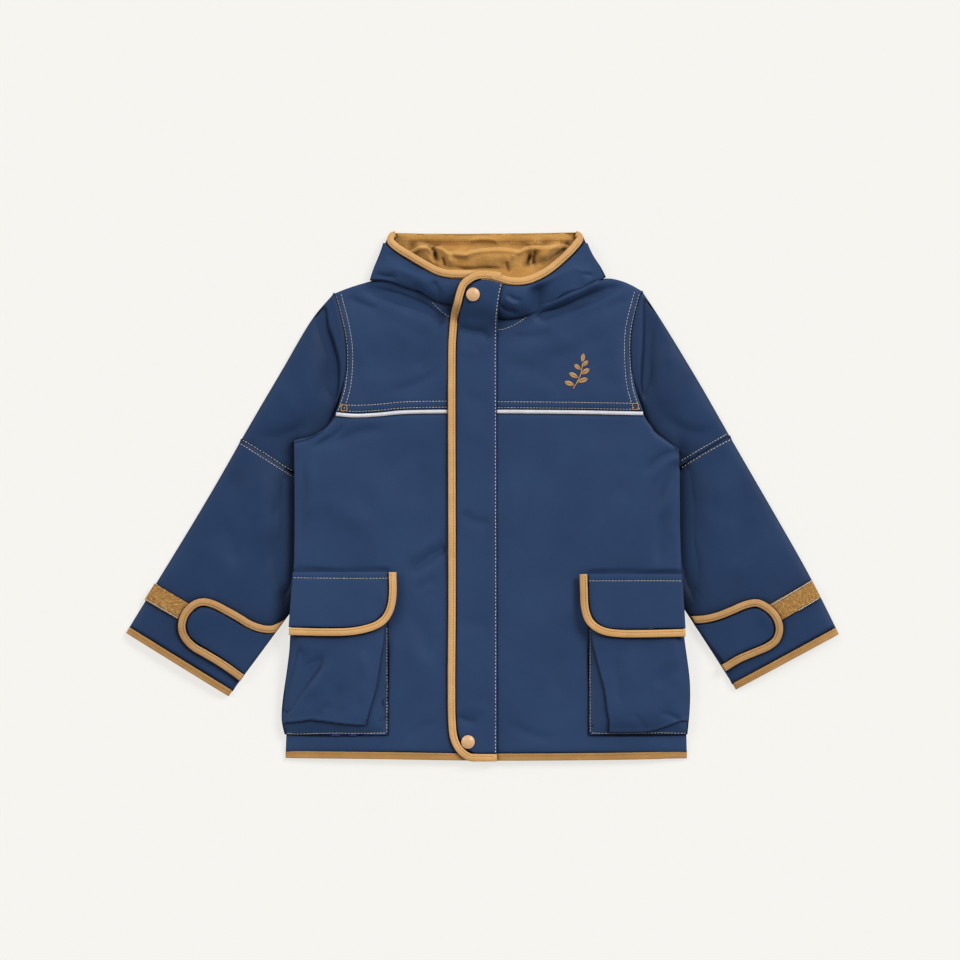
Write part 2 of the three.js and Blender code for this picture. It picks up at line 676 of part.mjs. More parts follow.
add(
  sheet(
    "hood_back",
    navy,
    cut({
      bottom: (t) => backNeck(t).add(new THREE.Vector3(0, layer, 0)),
      top: line([-95, 261], [4, 261], [100, 261]),
      left: line([-112, 216], [-109.5, 226.5], [-103, 240.5], [-95, 261]),
      right: line([123, 219.5], [117.5, 228.5], [109.5, 240.5], [100, 261]),
    }),
    [12, 4],
    () => wall,
    () => 0,
  ),
);

// The bunched fleece: lobes and the dark valleys between them.
const fleeceFolds = [
  { from: [-70, 243], to: [-48, 236], width: 6, height: 3.4 },
  { from: [-47, 246], to: [-49, 234], width: 3, height: -6 },
  { from: [-44, 246], to: [-32, 232], width: 5, height: 3.6 },
  { from: [-30, 240], to: [-14, 242], width: 6, height: 2.6 },
  { from: [-12, 236], to: [36, 240], width: 9, height: 4 },
  { from: [-32, 229], to: [22, 227], width: 3, height: -2.4 },
  { from: [43, 242], to: [47, 228], width: 3.6, height: -7 },
  { from: [48, 248], to: [58, 246], width: 4, height: 2.6 },
  { from: [56, 240], to: [86, 251], width: 7, height: 4.6 },
  { from: [-86, 254], to: [92, 254], width: 3, height: -3 },
];
const hoodUnder = topOf(hoodSides, 0);
const hoodRimTop = topOf(hoodRims, 0);
function fleeceTop(x, y) {
  const heap = mix(11, 12.5, ease((260 - y) / 10)) + 2 * ease(1 - Math.abs(x - 4) / 60);
  const full = heap + folds(fleeceFolds, x, y);
  const covers = [-5, 0, 5].flatMap((dx) =>
    [-5, 0, 5].flatMap((dy) => [
      hoodUnder(x + dx, y + dy) - wall,
      hoodRimTop(x + dx, y + dy) - wall - bindingProud - bindingCrown - 1,
    ]),
  );
  const lowest = Math.min(...covers.filter((height) => height > -100));
  return Math.max(wall + 2, Math.min(full, lowest - layer));
}
add(
  sheet(
    "hood_lining",
    fleece,
    cut({
      bottom: line([-95, 238], [-78, 227], [-50, 214], [4, 206], [60, 212], [84, 227], [99, 240]),
      top: line([-88.5, 263.8], [-60, 263], [4, 263], [60, 263.6], [94.5, 264.4]),
      left: line([-95, 238], [-91, 252], [-88.5, 263.8]),
      right: line([99, 240], [96, 252], [94.5, 264.4]),
    }),
    [26, 9],
    fleeceTop,
    () => wall + seam,
  ),
);

// ---- Storm flap over the place where the fronts meet ----
const flapLie = lyingOn([...fronts, ...piping, hemBinding, ...hoodSides, ...hoodRims], trimWall, 8);
const flapBindingPath = line(
  [20.5, 216.7], [12, 219.4], [4, 220.8], [-3, 220.8], [-9, 219.3], [-14.5, 216], [-19.5, 211.5],
  [-22.5, 204], [-25.5, 192.5], [-28.5, 180], [-30.5, 160], [-31, 150], [-31, -103], [-31.5, -195],
  [-31, -225], [-29.5, -240], [-26, -249], [-20.5, -256], [-13, -260.8], [-5, -261.2], [14, -261.2],
);
const besideFlap = aside(flapBindingPath, -besideBinding - 0.2);
const [topCorner, lowCorner] = [0.06, 0.945];
const stormFlap = add(
  sheet(
    "storm_flap",
    navy,
    cut({
      bottom: stretch(besideFlap, lowCorner, 1),
      top: stretch(besideFlap, topCorner, 0),
      left: stretch(besideFlap, lowCorner, topCorner),
      right: line([flapEdge, -257.2], [flapEdge, 160], [15, 188.5], [17, 203.5], [19, 212.5]),
    }),
    [3, 30],
    flapLie.top,
    flapLie.bottom,
  ),
);
edging("storm_flap_binding", flapBindingPath, flapLie, 50);

// ---- Snaps ----
function snap(name, x, y) {
  const height = topOf([stormFlap], 0);
  const tilt = new THREE.Vector3(
    height(x - 5, y) - height(x + 5, y),
    height(x, y - 5) - height(x, y + 5),
    10,
  ).normalize();
  const profile = [[0, 0], [1, 0], [1, 0.35], [0.84, 0.72], [0.5, 0.94], [0, 1]];
  const outline = profile.map(([r, z]) => new THREE.Vector2(r * snapRadius, z * snapHeight));
  const cap = new THREE.Mesh(new THREE.LatheGeometry(outline, 24), capMetal);
  cap.name = name;
  cap.quaternion.setFromUnitVectors(new THREE.Vector3(0, 1, 0), tilt);
  cap.position.set(x, y, height(x, y)).addScaledVector(tilt, 2 * seam);
  return add(cap);
}
snap("snap_top", -10, 201.5);
snap("snap_bottom", -15, -245.5);

export default new THREE.Group().add(...pieces);
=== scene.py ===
import math

import bmesh
import bpy
import numpy as np
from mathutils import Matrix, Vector
from mathutils.bvhtree import BVHTree
from mathutils.kdtree import KDTree


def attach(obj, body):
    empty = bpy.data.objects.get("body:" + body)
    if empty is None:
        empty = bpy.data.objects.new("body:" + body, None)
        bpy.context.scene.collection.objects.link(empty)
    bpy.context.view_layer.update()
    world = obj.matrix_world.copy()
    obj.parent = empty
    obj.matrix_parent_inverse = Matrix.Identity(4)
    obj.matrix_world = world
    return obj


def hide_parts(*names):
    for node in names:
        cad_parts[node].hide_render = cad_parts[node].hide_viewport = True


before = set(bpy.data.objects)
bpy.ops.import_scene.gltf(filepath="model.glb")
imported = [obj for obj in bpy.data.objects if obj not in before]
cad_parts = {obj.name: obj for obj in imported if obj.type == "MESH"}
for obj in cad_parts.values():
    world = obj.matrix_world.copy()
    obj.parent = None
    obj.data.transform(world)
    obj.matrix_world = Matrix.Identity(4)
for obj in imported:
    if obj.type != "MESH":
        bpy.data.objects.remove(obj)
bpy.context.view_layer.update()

# A child's hooded parka, snapped shut and laid out on its back. Cut sizes are in millimetres: x across,
# y up the garment from the hem, z up from the table. Right and left are the wearer's.
mm = 0.001
made = {}  # every finished piece by name
nowhere = -100  # a height below this means that the piece isn't there
facing = 0.12  # how far up or down a spot has to face to count as a piece's upper or lower side
wall = 2.6  # shell, padding and lining together
creaseDepth = 1.2  # all creases on the upper sides together, 1 is as they are listed


# lines of the cut
def smoothLine(points, step=1.0):
    p = np.array(points, float)
    p = np.vstack([2 * p[0] - p[1], p, 2 * p[-1] - p[-2]])
    t = np.linspace(0, 1, 25)[:-1, None]
    runs = []
    for a, b, c, d in zip(p, p[1:], p[2:], p[3:]):
        ab, bc, cd = (max(np.linalg.norm(q - r) ** 0.5, 1e-6) for q, r in ((a, b), (b, c), (c, d)))
        leave = bc * ((b - a) / ab - (c - a) / (ab + bc) + (c - b) / bc)
        arrive = bc * ((c - b) / bc - (d - b) / (bc + cd) + (d - c) / cd)
        runs.append((2 * t**3 - 3 * t**2 + 1) * b + (t**3 - 2 * t**2 + t) * leave
                    + (3 * t**2 - 2 * t**3) * c + (t**3 - t**2) * arrive)
    return evenly(np.vstack(runs + [p[-2:-1]]), step)


def evenly(path, step):
    along = np.r_[0, np.cumsum(np.linalg.norm(np.diff(path, axis=0), axis=1))]
    marks = np.linspace(0, along[-1], max(2, int(round(along[-1] / step)) + 1))
    return np.column_stack([np.interp(marks, along, path[:, k]) for k in range(path.shape[1])])


def waysOf(path):
    way = np.gradient(path, axis=0)
    return way / np.maximum(np.linalg.norm(way, axis=1, keepdims=True), 1e-9)


# The line moved sideways, to the right of the way it runs.
def beside(path, distance):
    way = waysOf(path)
    return path + distance * np.column_stack([way[:, 1], -way[:, 0]])


def ease(value):
    value = np.clip(value, 0, 1)
    return value * value * (3 - 2 * value)


# Soft random hills and hollows of a given size, from -1 to 1.
def uneven(x, y, size, seed):
    hills = np.random.default_rng(seed).uniform(-1, 1, (64, 64))
    u, v = np.asarray(x) / size + 31.3, np.asarray(y) / size + 17.7
    i, j = np.floor(u).astype(int), np.floor(v).astype(int)
    fu, fv = ease(u - i), ease(v - j)
    at = lambda a, b: hills[a % 64, b % 64]
    low = at(i, j) * (1 - fu) + at(i + 1, j) * fu
    high = at(i, j + 1) * (1 - fu) + at(i + 1, j + 1) * fu
    return low * (1 - fv) + high * fv


# A ridge, or a trough below zero, that runs along a line and fades out at its ends. "width" is how far
# it reaches to the left and right of the line, "sharp" 2 is round and 1 is a crisp fold.
def crease(line, width, height, sharp=2, fade=(0.3, 0.3)):
    left, right = width if isinstance(width, tuple) else (width, width)
    return smoothLine(line, 2.0), left, right, height, sharp, fade


def creaseHeights(creases, x, y):
    total = np.zeros(len(x))
    for path, left, right, height, sharp, (start, end) in creases:
        reach = 3.2 * max(left, right)  # further away it has no height left
        near = np.nonzero((x > path[:, 0].min() - reach) & (x < path[:, 0].max() + reach)
                          & (y > path[:, 1].min() - reach) & (y < path[:, 1].max() + reach))[0]
        if not len(near):
            continue
        dx, dy = x[near, None] - path[:, 0], y[near, None] - path[:, 1]
        away = dx**2 + dy**2
        at = away.argmin(1)
        row = np.arange(len(near))
        way = waysOf(path)[at]
        side = way[:, 0] * dy[row, at] - way[:, 1] * dx[row, at]
        width = np.where(side > 0, left, right)
        share = at / (len(path) - 1)
        fade = ease(share / max(start, 1e-3) + (start <= 0)) * ease((1 - share) / max(end, 1e-3) + (end <= 0))
        # no crease is as high all along
        wobble = 1 + 0.22 * uneven(x[near], y[near], 17, len(total) % 97 + len(near) % 13)
        total[near] += height * fade * wobble * np.exp(-((np.sqrt(away[row, at]) / width) ** sharp))
    return total


# meshes
def added(name, mesh, finish):
    piece = bpy.data.objects.new(name, mesh)
    bpy.context.scene.collection.objects.link(piece)
    mesh.materials.clear()
    mesh.materials.append(finish)
    mesh.polygons.foreach_set("use_smooth", [True] * len(mesh.polygons))
    made[name] = piece
    return piece


# What each vertex or face holds, in rows of three.
def rowsOf(items, what):
    flat = np.empty(len(items) * 3)
    items.foreach_get(what, flat)
    return flat.reshape(-1, 3)


def pointsOf(piece):
    return rowsOf(piece.data.vertices, "co") / mm


def movePoints(piece, co):
    piece.data.vertices.foreach_set("co", (co * mm).ravel())
    piece.data.update()


def meshFrom(points, faces):
    mesh = bpy.data.meshes.new("cut")
    mesh.from_pydata([tuple(p) for p in np.asarray(points) * mm], [], faces)
    mesh.update()
    return mesh


# The faces between rings of so many points each, the first point being number "base".
def walls(rings, many, base=0):
    faces = []
    for i in range(base, base + (rings - 1) * many, many):
        faces += [(i + j, i + (j + 1) % many, i + many + (j + 1) % many, i + many + j) for j in range(many)]
    return faces


# All faces turned outwards, points closer together than "merge" made one.
def facingOut(mesh, merge=0):
    bm = bmesh.new()
    bm.from_mesh(mesh)
    if merge:
        bmesh.ops.remove_doubles(bm, verts=bm.verts, dist=merge)
    bmesh.ops.recalc_face_normals(bm, faces=bm.faces)
    bm.to_mesh(mesh)
    bm.free()
    return mesh


# Finds the nearest of some points, seen from above: which one it is and how far away.
def nearestIn(points):
    tree = KDTree(len(points))
    for i, (x, y) in enumerate(points):
        tree.insert((x, y, 0), i)
    tree.balance()
    return lambda x, y: tree.find((x, y, 0))[1:]


# A line of stitches draws the cloth in a little, more in some places than in others.
def sewn(runs, depth=0.34):
    return [crease(np.asarray(run)[:: max(1, len(run) // 12)] if len(run) > 14 else run, 1.5, -depth, fade=(0.02, 0.02))
            for run in runs]


# Gives the height of the highest surface of some pieces at a point.
def topOf(*objects):
    trees = []
    for o in objects:
        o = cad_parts.get(o) or made[o] if isinstance(o, str) else o
        trees.append(BVHTree.FromPolygons([v.co for v in o.data.vertices], [p.vertices[:] for p in o.data.polygons]))
    down = Vector((0, 0, -1))

    def height(x, y):
        best = 10 * nowhere
        for tree in trees:
            hit = tree.ray_cast(Vector((x * mm, y * mm, 0.2)), down)[0]
            if hit:
                best = max(best, hit.z / mm)
        return best
    return height


def rollingMean(values, reach):
    padded = np.pad(values, reach, mode="edge")
    return np.convolve(padded, np.ones(2 * reach + 1) / (2 * reach + 1), mode="valid")


# A fine cloth piece on the form of its solid: the same cut, rounder, with soft edges.
def fineCloth(node, finish, levels=3, seamDip=0.7, seamReach=2.4, rounded=0.9, endCrease=1.0, sewnIn=None):
    bm = bmesh.new()
    bm.from_mesh(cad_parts[node].data)
    bmesh.ops.remove_doubles(bm, verts=bm.verts, dist=2e-6)
    bmesh.ops.join_triangles(bm, faces=bm.faces, angle_face_threshold=math.pi, angle_shape_threshold=math.pi)
    bm.normal_update()
    upright = {f for f in bm.faces if abs(f.normal.z) < 0.02}
    edgeCrease = bm.edges.layers.float.new("crease_edge")
    cornerCrease = bm.verts.layers.float.new("crease_vert")
    ways = {}
    for e in bm.edges:
        if len(e.link_faces) != 2 or (e.link_faces[0] in upright) == (e.link_faces[1] in upright):
            continue
        e[edgeCrease] = endCrease
        way = (e.verts[1].co - e.verts[0].co).xy.normalized()
        for v in e.verts:
            ways.setdefault(v, []).append(way)
    for v, two in ways.items():
        if len(two) == 2 and abs(two[0].dot(two[1])) < math.cos(math.radians(42)):  # a corner of the cut
            v[cornerCrease] = 1.0
            for e in v.link_edges:
                other = e.other_vert(v)
                if (other.co - v.co).xy.length < 1e-5:
                    e[edgeCrease] = 1.0
    mesh = bpy.data.meshes.new(node + "_cloth")
    bm.to_mesh(mesh)
    bm.free()
    piece = added(node + "_cloth", mesh, finish)
    smooth = piece.modifiers.new("fine", "SUBSURF")
    smooth.levels = smooth.render_levels = levels
    smooth.subdivision_type = "CATMULL_CLARK"
    smooth.boundary_smooth = "PRESERVE_CORNERS"
    fine = bpy.data.meshes.new_from_object(piece.evaluated_get(bpy.context.evaluated_depsgraph_get()))
    piece.modifiers.clear()
    piece.data = fine
    for layer in ("crease_edge", "crease_vert"):
        if layer in fine.attributes:
            fine.attributes.remove(fine.attributes[layer])
    fine.polygons.foreach_set("use_smooth", [True] * len(fine.polygons))
    softenRim(piece, seamDip, seamReach, rounded, sewnIn)
    return piece


# The cut edges are turned and pressed: they round over, and the face dips towards them. The ends of a
# tube run on into the piece that they are sewn to, as far as "sewnIn" says for each place and way out.
def softenRim(piece, dip, reach, radius, sewnIn):
    mesh = piece.data
    co = pointsOf(piece)
    normal = np.zeros((len(co), 3))
    onRim = np.zeros(len(co), bool)
    lean = 0.5 if sewnIn else 0.03  # a sewn end may lean
    for poly, n in zip(mesh.polygons, rowsOf(mesh.polygons, "normal")):
        if abs(n[2]) < lean:
            for v in poly.vertices:
                onRim[v] = True
                normal[v] += n
    rim = np.nonzero(onRim)[0]
    if not len(rim):
        return
    place = lambda v: (int(np.round(co[v, 0] * 50)), int(np.round(co[v, 1] * 50)))
    columns = {}
    for v in rim:
        low, high = columns.get(place(v), (1e9, -1e9))
        columns[place(v)] = (min(low, co[v, 2]), max(high, co[v, 2]))
    nearRim = nearestIn(co[rim, :2])
    upper = upperSide(piece)
    away = np.array([nearRim(x, y)[1] for x, y in co[:, :2]])
    moved = co.copy()
    moved[:, 2] -= np.where(upper | onRim, dip * np.exp(-((away / reach) ** 2)), 0)
    for v in rim:
        way = normal[v, :2] / max(np.linalg.norm(normal[v, :2]), 1e-9)
        if sewnIn:
            moved[v, :2] += way * sewnIn(co[v, 0], co[v, 1], way[0] * np.sign(co[v, 0]))
            continue
        low, high = columns[place(v)]
        tall = high - low
        if tall < 0.4:
            continue
        r = min(radius, 0.48 * tall)
        over = max(0.0, co[v, 2] - (high - r), (low + r) - co[v, 2]) / r
        moved[v, :2] -= way * (r * (1 - math.sqrt(max(0.0, 1 - over**2))))
        moved[v, 2] = co[v, 2] - dip * (co[v, 2] - low) / tall
    movePoints(piece, np.maximum(moved, [-1e4, -1e4, 0]) if sewnIn else moved)


def upperSide(piece):
    return rowsOf(piece.data.vertices, "normal")[:, 2] > facing


# Lays creases and a little unevenness into the upper face of a cloth piece.
def lay(piece, creases=(), soft=((70, 0.45), (24, 0.16)), seed=1, least=None, under=()):
    co = pointsOf(piece)
    if under:  # troughs pressed up into the side that lies on the table, half the wall deep at most
        lower = rowsOf(piece.data.vertices, "normal")[:, 2] < -facing
        co[lower, 2] += np.clip(creaseHeights(under, co[lower, 0], co[lower, 1]), 0, wall / 2)
    upper = upperSide(piece)
    x, y = co[upper, 0], co[upper, 1]
    change = creaseDepth * creaseHeights(creases, x, y)
    for k, (size, height) in enumerate(soft):
        change += height * uneven(x, y, size, seed * 7 + k)
    co[upper, 2] += change
    if least is not None:
        co[upper, 2] = np.maximum(co[upper, 2], least)
    movePoints(piece, co)


# Brings the end of a tube down with the troughs in its upper side, along a seam.
def levelSeam(piece, upper, seam, seamWidth=4.5):
    co = pointsOf(piece)
    tops = np.nonzero(upper)[0]
    nearTop = nearestIn(co[tops, :2])
    for i in np.nonzero(~upper)[0]:
        if np.hypot(*(seam - co[i, :2]).T).min() < seamWidth:
            top = co[tops[nearTop(co[i, 0], co[i, 1])[0]], 2]
            co[i, 2] = min(co[i, 2], max(top - 0.05, 2.2))
    movePoints(piece, co)


# A folded tape sewn over an edge: it follows a line, on heights read from its own solid.
def tape(name, node, finish, path, width=7.4, thick=2.4, crown=0.75, groove=None, step=1.6, seed=3,
         narrow=None, settle=None):
    path = evenly(np.asarray(path), step)
    height = topOf(node)
    railAt = 0.72
    rails = []  # heights left of the middle, on it and right of it
    for share in (-railAt, 0, railAt):
        rail = beside(path, share * width / 2)
        heights = np.array([height(x, y) for x, y in rail])
        good = heights > nowhere
        heights = np.interp(np.arange(len(heights)), np.nonzero(good)[0], heights[good])
        rails.append(rollingMean(heights, 3))
    middle = rails[1] - 0.5
    lean = (rails[2] - rails[0]) / (railAt * width)
    marks = np.arange(len(path)) * step
    if settle:  # comes down by so much over the first stretch
        middle = middle - settle[0] * ease(1 - marks / settle[1])
    half = np.full(len(path), width / 2)
    if narrow:  # lower and narrower towards that end
        fromEnd = marks if narrow == "start" else marks[-1] - marks
        middle = middle - 1.2 * ease(1 - fromEnd / 12)
        half *= 0.82 + 0.18 * ease(fromEnd / 13)
    profile = [(-1, -thick), (-1.02, -0.62 * thick), (-1.0, -0.55), (-0.93, -0.12), (-0.8, 0.12), (-0.6, 0.46),
               (-0.35, 0.82), (0, 1.0), (0.2, 0.97), (0.34, 0.86), (0.46, 0.6), (0.56, 0.72), (0.7, 0.6), (0.86, 0.24),
               (0.95, -0.12), (1.0, -0.55), (1.02, -0.62 * thick), (1, -thick)]
    ring = len(profile)
    points = []
    pucker = 0.07 * uneven(marks, marks * 0, 3.2, seed) + 0.10 * uneven(marks, marks * 0, 19, seed + 1)
    way = waysOf(path)
    for u, z in profile:
        side = path + (u * half)[:, None] * np.column_stack([way[:, 1], -way[:, 0]])
        rise = crown * z if z > 0 else z
        if groove is not None and z > 0:
            rise = rise - 0.28 * math.exp(-(((u - groove) / 0.11) ** 2))
        rise = middle + lean * u * half + rise + pucker * (1 if z > -0.6 else 0)
        points.append(np.column_stack([side, rise]))
    grid = np.stack(points, 1).reshape(-1, 3)
    last = len(grid) - ring
    ends = [tuple(range(ring))[::-1], tuple(last + j for j in range(ring))]
    return added(name, facingOut(meshFrom(grid, walls(len(path), ring) + ends)), finish)


# Sewing thread: one small rounded stitch after another along a line, lying on some pieces.
def stitches(name, runs, on, finish, long=2.4, gap=0.8, thick=0.6, sunk=0.12, satin=()):
    height = topOf(*on)
    points, faces = [], []
    rings = [(-0.5, 0.45), (-0.34, 0.9), (0, 1.0), (0.34, 0.9), (0.5, 0.45)]
    around = [(math.cos(a), math.sin(a)) for a in np.linspace(0, 2 * math.pi, 7)[:-1]]
    rng = np.random.default_rng(len(name) * 31 + 5)

    def stitch(x, y, wx, wy, half):
        ends = [height(x + s * half * wx, y + s * half * wy) for s in (-1, 0, 1)]
        if min(ends) < nowhere:
            return
        slope = (ends[2] - ends[0]) / (2 * half)
        base = len(points)
        for s, r in rings:
            px, py = x + 2 * s * half * wx, y + 2 * s * half * wy
            pz = ends[1] + 2 * s * half * slope - sunk + 0.16 * (1 - (2 * s) ** 2)
            for ca, sa in around:
                points.append((px - wy * ca * r * thick / 2, py + wx * ca * r * thick / 2, pz + sa * r * thick / 2))
        n = len(around)
        faces.extend(walls(len(rings), n, base))
        faces.append(tuple(base + j for j in range(n))[::-1])
        faces.append(tuple(base + (len(rings) - 1) * n + j for j in range(n)))

    for start, end in satin:  # one thread from here to there
        (x, y), (dx, dy) = (start + end) / 2, end - start
        span = max(math.hypot(dx, dy), 0.1)
        stitch(x, y, dx / span, dy / span, span / 2)
    for run in runs:
        pace = 0.4
        path = evenly(np.asarray(run, float), pace)
        length = pace * (len(path) - 1)
        count = max(1, int(length / (long + gap)))
        way = waysOf(path)
        for k in range(count):
            at = min(int((k + 0.5) * length / count / pace), len(path) - 1)
            turn = rng.normal(0, 0.05)
            wx, wy = way[at]
            wx, wy = wx * math.cos(turn) - wy * math.sin(turn), wx * math.sin(turn) + wy * math.cos(turn)
            stitch(*path[at], wx, wy, long / 2 * rng.uniform(0.88, 1.06))
    return added(name, meshFrom(points, faces), finish)


# finishes
def linear(r, g, b):
    return tuple(((c / 255 + 0.055) / 1.055) ** 2.4 if c > 10 else c / 255 / 12.92 for c in (r, g, b)) + (1.0,)


# A cloth finish: weave and nap in the bump, two tones of colour in soft patches, thread-fine flecks, and painted shade,
# where ambient occlusion darkens the colour in folds and right beside edges.
def clothFinish(name, look):
    finish = bpy.data.materials.new(name)
    finish.use_nodes = True
    tree = finish.node_tree
    link = tree.links.new
    shader = tree.nodes["Principled BSDF"]

    def node(kind, **values):
        n = tree.nodes.new("ShaderNode" + kind)
        for socket, value in values.items():
            n.inputs[socket.replace("_", " ")].default_value = value
        return n

    turn = node("Mapping", Rotation=(0, 0, math.radians(look.get("grain", 0))))
    link(node("TexCoord").outputs["Object"], turn.inputs["Vector"])

    def noiseAt(size, detail=2.0, rough=0.55):
        n = node("TexNoise", Scale=1000 / size, Detail=detail, Roughness=rough)
        link(turn.outputs["Vector"], n.inputs["Vector"])
        return n.outputs["Fac"]

    def mathOf(kind, a, b):
        m = node("Math")
        m.operation = kind
        for socket, value in zip(m.inputs, (a, b)):
            if isinstance(value, (int, float)):
                socket.default_value = value
            else:
                link(value, socket)
        return m.outputs[0]

    patches = node("MapRange", From_Min=0.32, From_Max=0.68)
    link(noiseAt(look.get("patch", 45), 3.0), patches.inputs["Value"])
    tone = node("Mix")
    tone.data_type = "RGBA"
    tone.inputs["A"].default_value = linear(*look["colour"])
    tone.inputs["B"].default_value = linear(*look["second"])
    link(patches.outputs["Result"], tone.inputs["Factor"])
    flecks = look.get("fleck", 0.06)
    fleck = node("MapRange", From_Min=0.3, From_Max=0.7, To_Min=1 - flecks, To_Max=1 + flecks)
    link(noiseAt(look.get("fleckSize", 0.9), 2.0, 0.7), fleck.inputs["Value"])
    deep = 1.0  # painted shade: ambient occlusion darkens the colour down in folds, darkest right beside an edge
    for distance, power in ((look.get("hollow", 12), look.get("deep", 1.1)), (2.2, look.get("close", 1.3))):
        hollow = node("AmbientOcclusion", Distance=distance * mm)
        hollow.samples = 8
        deep = mathOf("MULTIPLY", mathOf("POWER", hollow.outputs["AO"], power), deep)
    dye = node("VectorMath")
    dye.operation = "SCALE"
    link(tone.outputs["Result"], dye.inputs[0])
    link(mathOf("MULTIPLY", fleck.outputs["Result"], deep), dye.inputs["Scale"])
    link(dye.outputs["Vector"], shader.inputs["Base Color"])

    gloss = node("MapRange", To_Min=look["rough"] - 0.06, To_Max=look["rough"] + 0.06)
    link(noiseAt(look.get("patch", 45) * 0.6), gloss.inputs["Value"])
    link(gloss.outputs["Result"], shader.inputs["Roughness"])

    metreWave = 0.31416  # the scale of a wave that is one metre long
    threads = []  # warp and weft, or the ribs of a tape
    for way in ("X", "Y"):
        wave = node("TexWave", Scale=metreWave / (look.get("yarn", 0.45) * mm), Distortion=look.get("loose", 0.4),
                    Detail=1.0)
        wave.bands_direction = way
        link(turn.outputs["Vector"], wave.inputs["Vector"])
        threads.append(wave.outputs["Fac"])
    under = None
    for layer, height, strength, depth in (
            ("weave", mathOf("MULTIPLY", mathOf("ADD", *threads), 0.5), 0.35, 0.06),
            ("nap", noiseAt(look.get("nap", 0.7), 3.0, 0.7), 0.3, 0.1),
            ("rumple", noiseAt(look.get("rumple", 16), 3.0, 0.5), 0.5, 0.5)):
        bump = node("Bump", Strength=look.get(layer + "Strength", strength),
                    Distance=look.get(layer + "Depth", depth) * mm)
        link(height, bump.inputs["Height"])
        if under:
            link(under, bump.inputs["Normal"])
        under = bump.outputs["Normal"]
    link(under, shader.inputs["Normal"])

    for socket, value in (("Specular IOR Level", look.get("specular", 0.35)), ("Sheen Weight", look.get("sheen", 0.1)),
                          ("Sheen Roughness", look.get("sheenRough", 0.4)), ("Metallic", look.get("metal", 0.0)),
                          ("Sheen Tint", linear(*look.get("sheenColour", look["colour"])))):
        shader.inputs[socket].default_value = value
    return finish


shellLook = {
    "colour": (42, 64, 99), "second": (38, 59, 93), "patch": 60, "fleck": 0.05, "fleckSize": 0.8,
    "rough": 0.56, "specular": 0.13, "sheen": 0.04, "sheenRough": 0.4, "sheenColour": (120, 140, 175),
    "yarn": 0.42, "weaveDepth": 0.05, "weaveStrength": 0.4, "nap": 0.6, "napDepth": 0.05,
    "rumple": 15, "rumpleDepth": 0.36, "rumpleStrength": 0.7,
}
bindingLook = {
    # painted shade: only a little in the tape's folds and beside its edges
    "deep": 0.4, "close": 0.9,
    "colour": (214, 167, 108), "second": (203, 155, 96), "patch": 22, "fleck": 0.10, "fleckSize": 0.7,
    "rough": 0.74, "specular": 0.25, "sheen": 0.3, "sheenColour": (235, 200, 150),
    "yarn": 0.7, "weaveDepth": 0.16, "weaveStrength": 0.7, "nap": 0.8, "napDepth": 0.12, "grain": 45,
    "rumple": 5, "rumpleDepth": 0.16,
}
fleeceLook = {
    # painted shade: short-reaching in the fleece's folds, and beside its edges
    "hollow": 7, "deep": 0.9, "close": 0.5,
    "colour": (196, 148, 82), "second": (184, 134, 68), "patch": 18, "fleck": 0.16, "fleckSize": 1.1,
    "rough": 0.93, "specular": 0.12, "sheen": 0.55, "sheenRough": 0.6, "sheenColour": (240, 205, 150),
    "yarn": 1.6, "weaveDepth": 0.05, "loose": 6.0, "nap": 1.2, "napDepth": 0.55, "napStrength": 0.8,
    "rumple": 7, "rumpleDepth": 0.5,
}
# The sleeves: a darker navy, and deeper painted shade reaching further, dark beside the body.
sleeveLook = {**shellLook, "hollow": 24, "deep": 2.1, "colour": (36, 58, 92), "second": (33, 53, 85)}
threadLook = {"patch": 6, "fleck": 0.12, "fleckSize": 0.5, "rough": 0.6, "specular": 0.4, "sheen": 0.2, "yarn": 0.5,
              "weaveDepth": 0.1, "grain": 30, "rumple": 3, "rumpleDepth": 0.05}
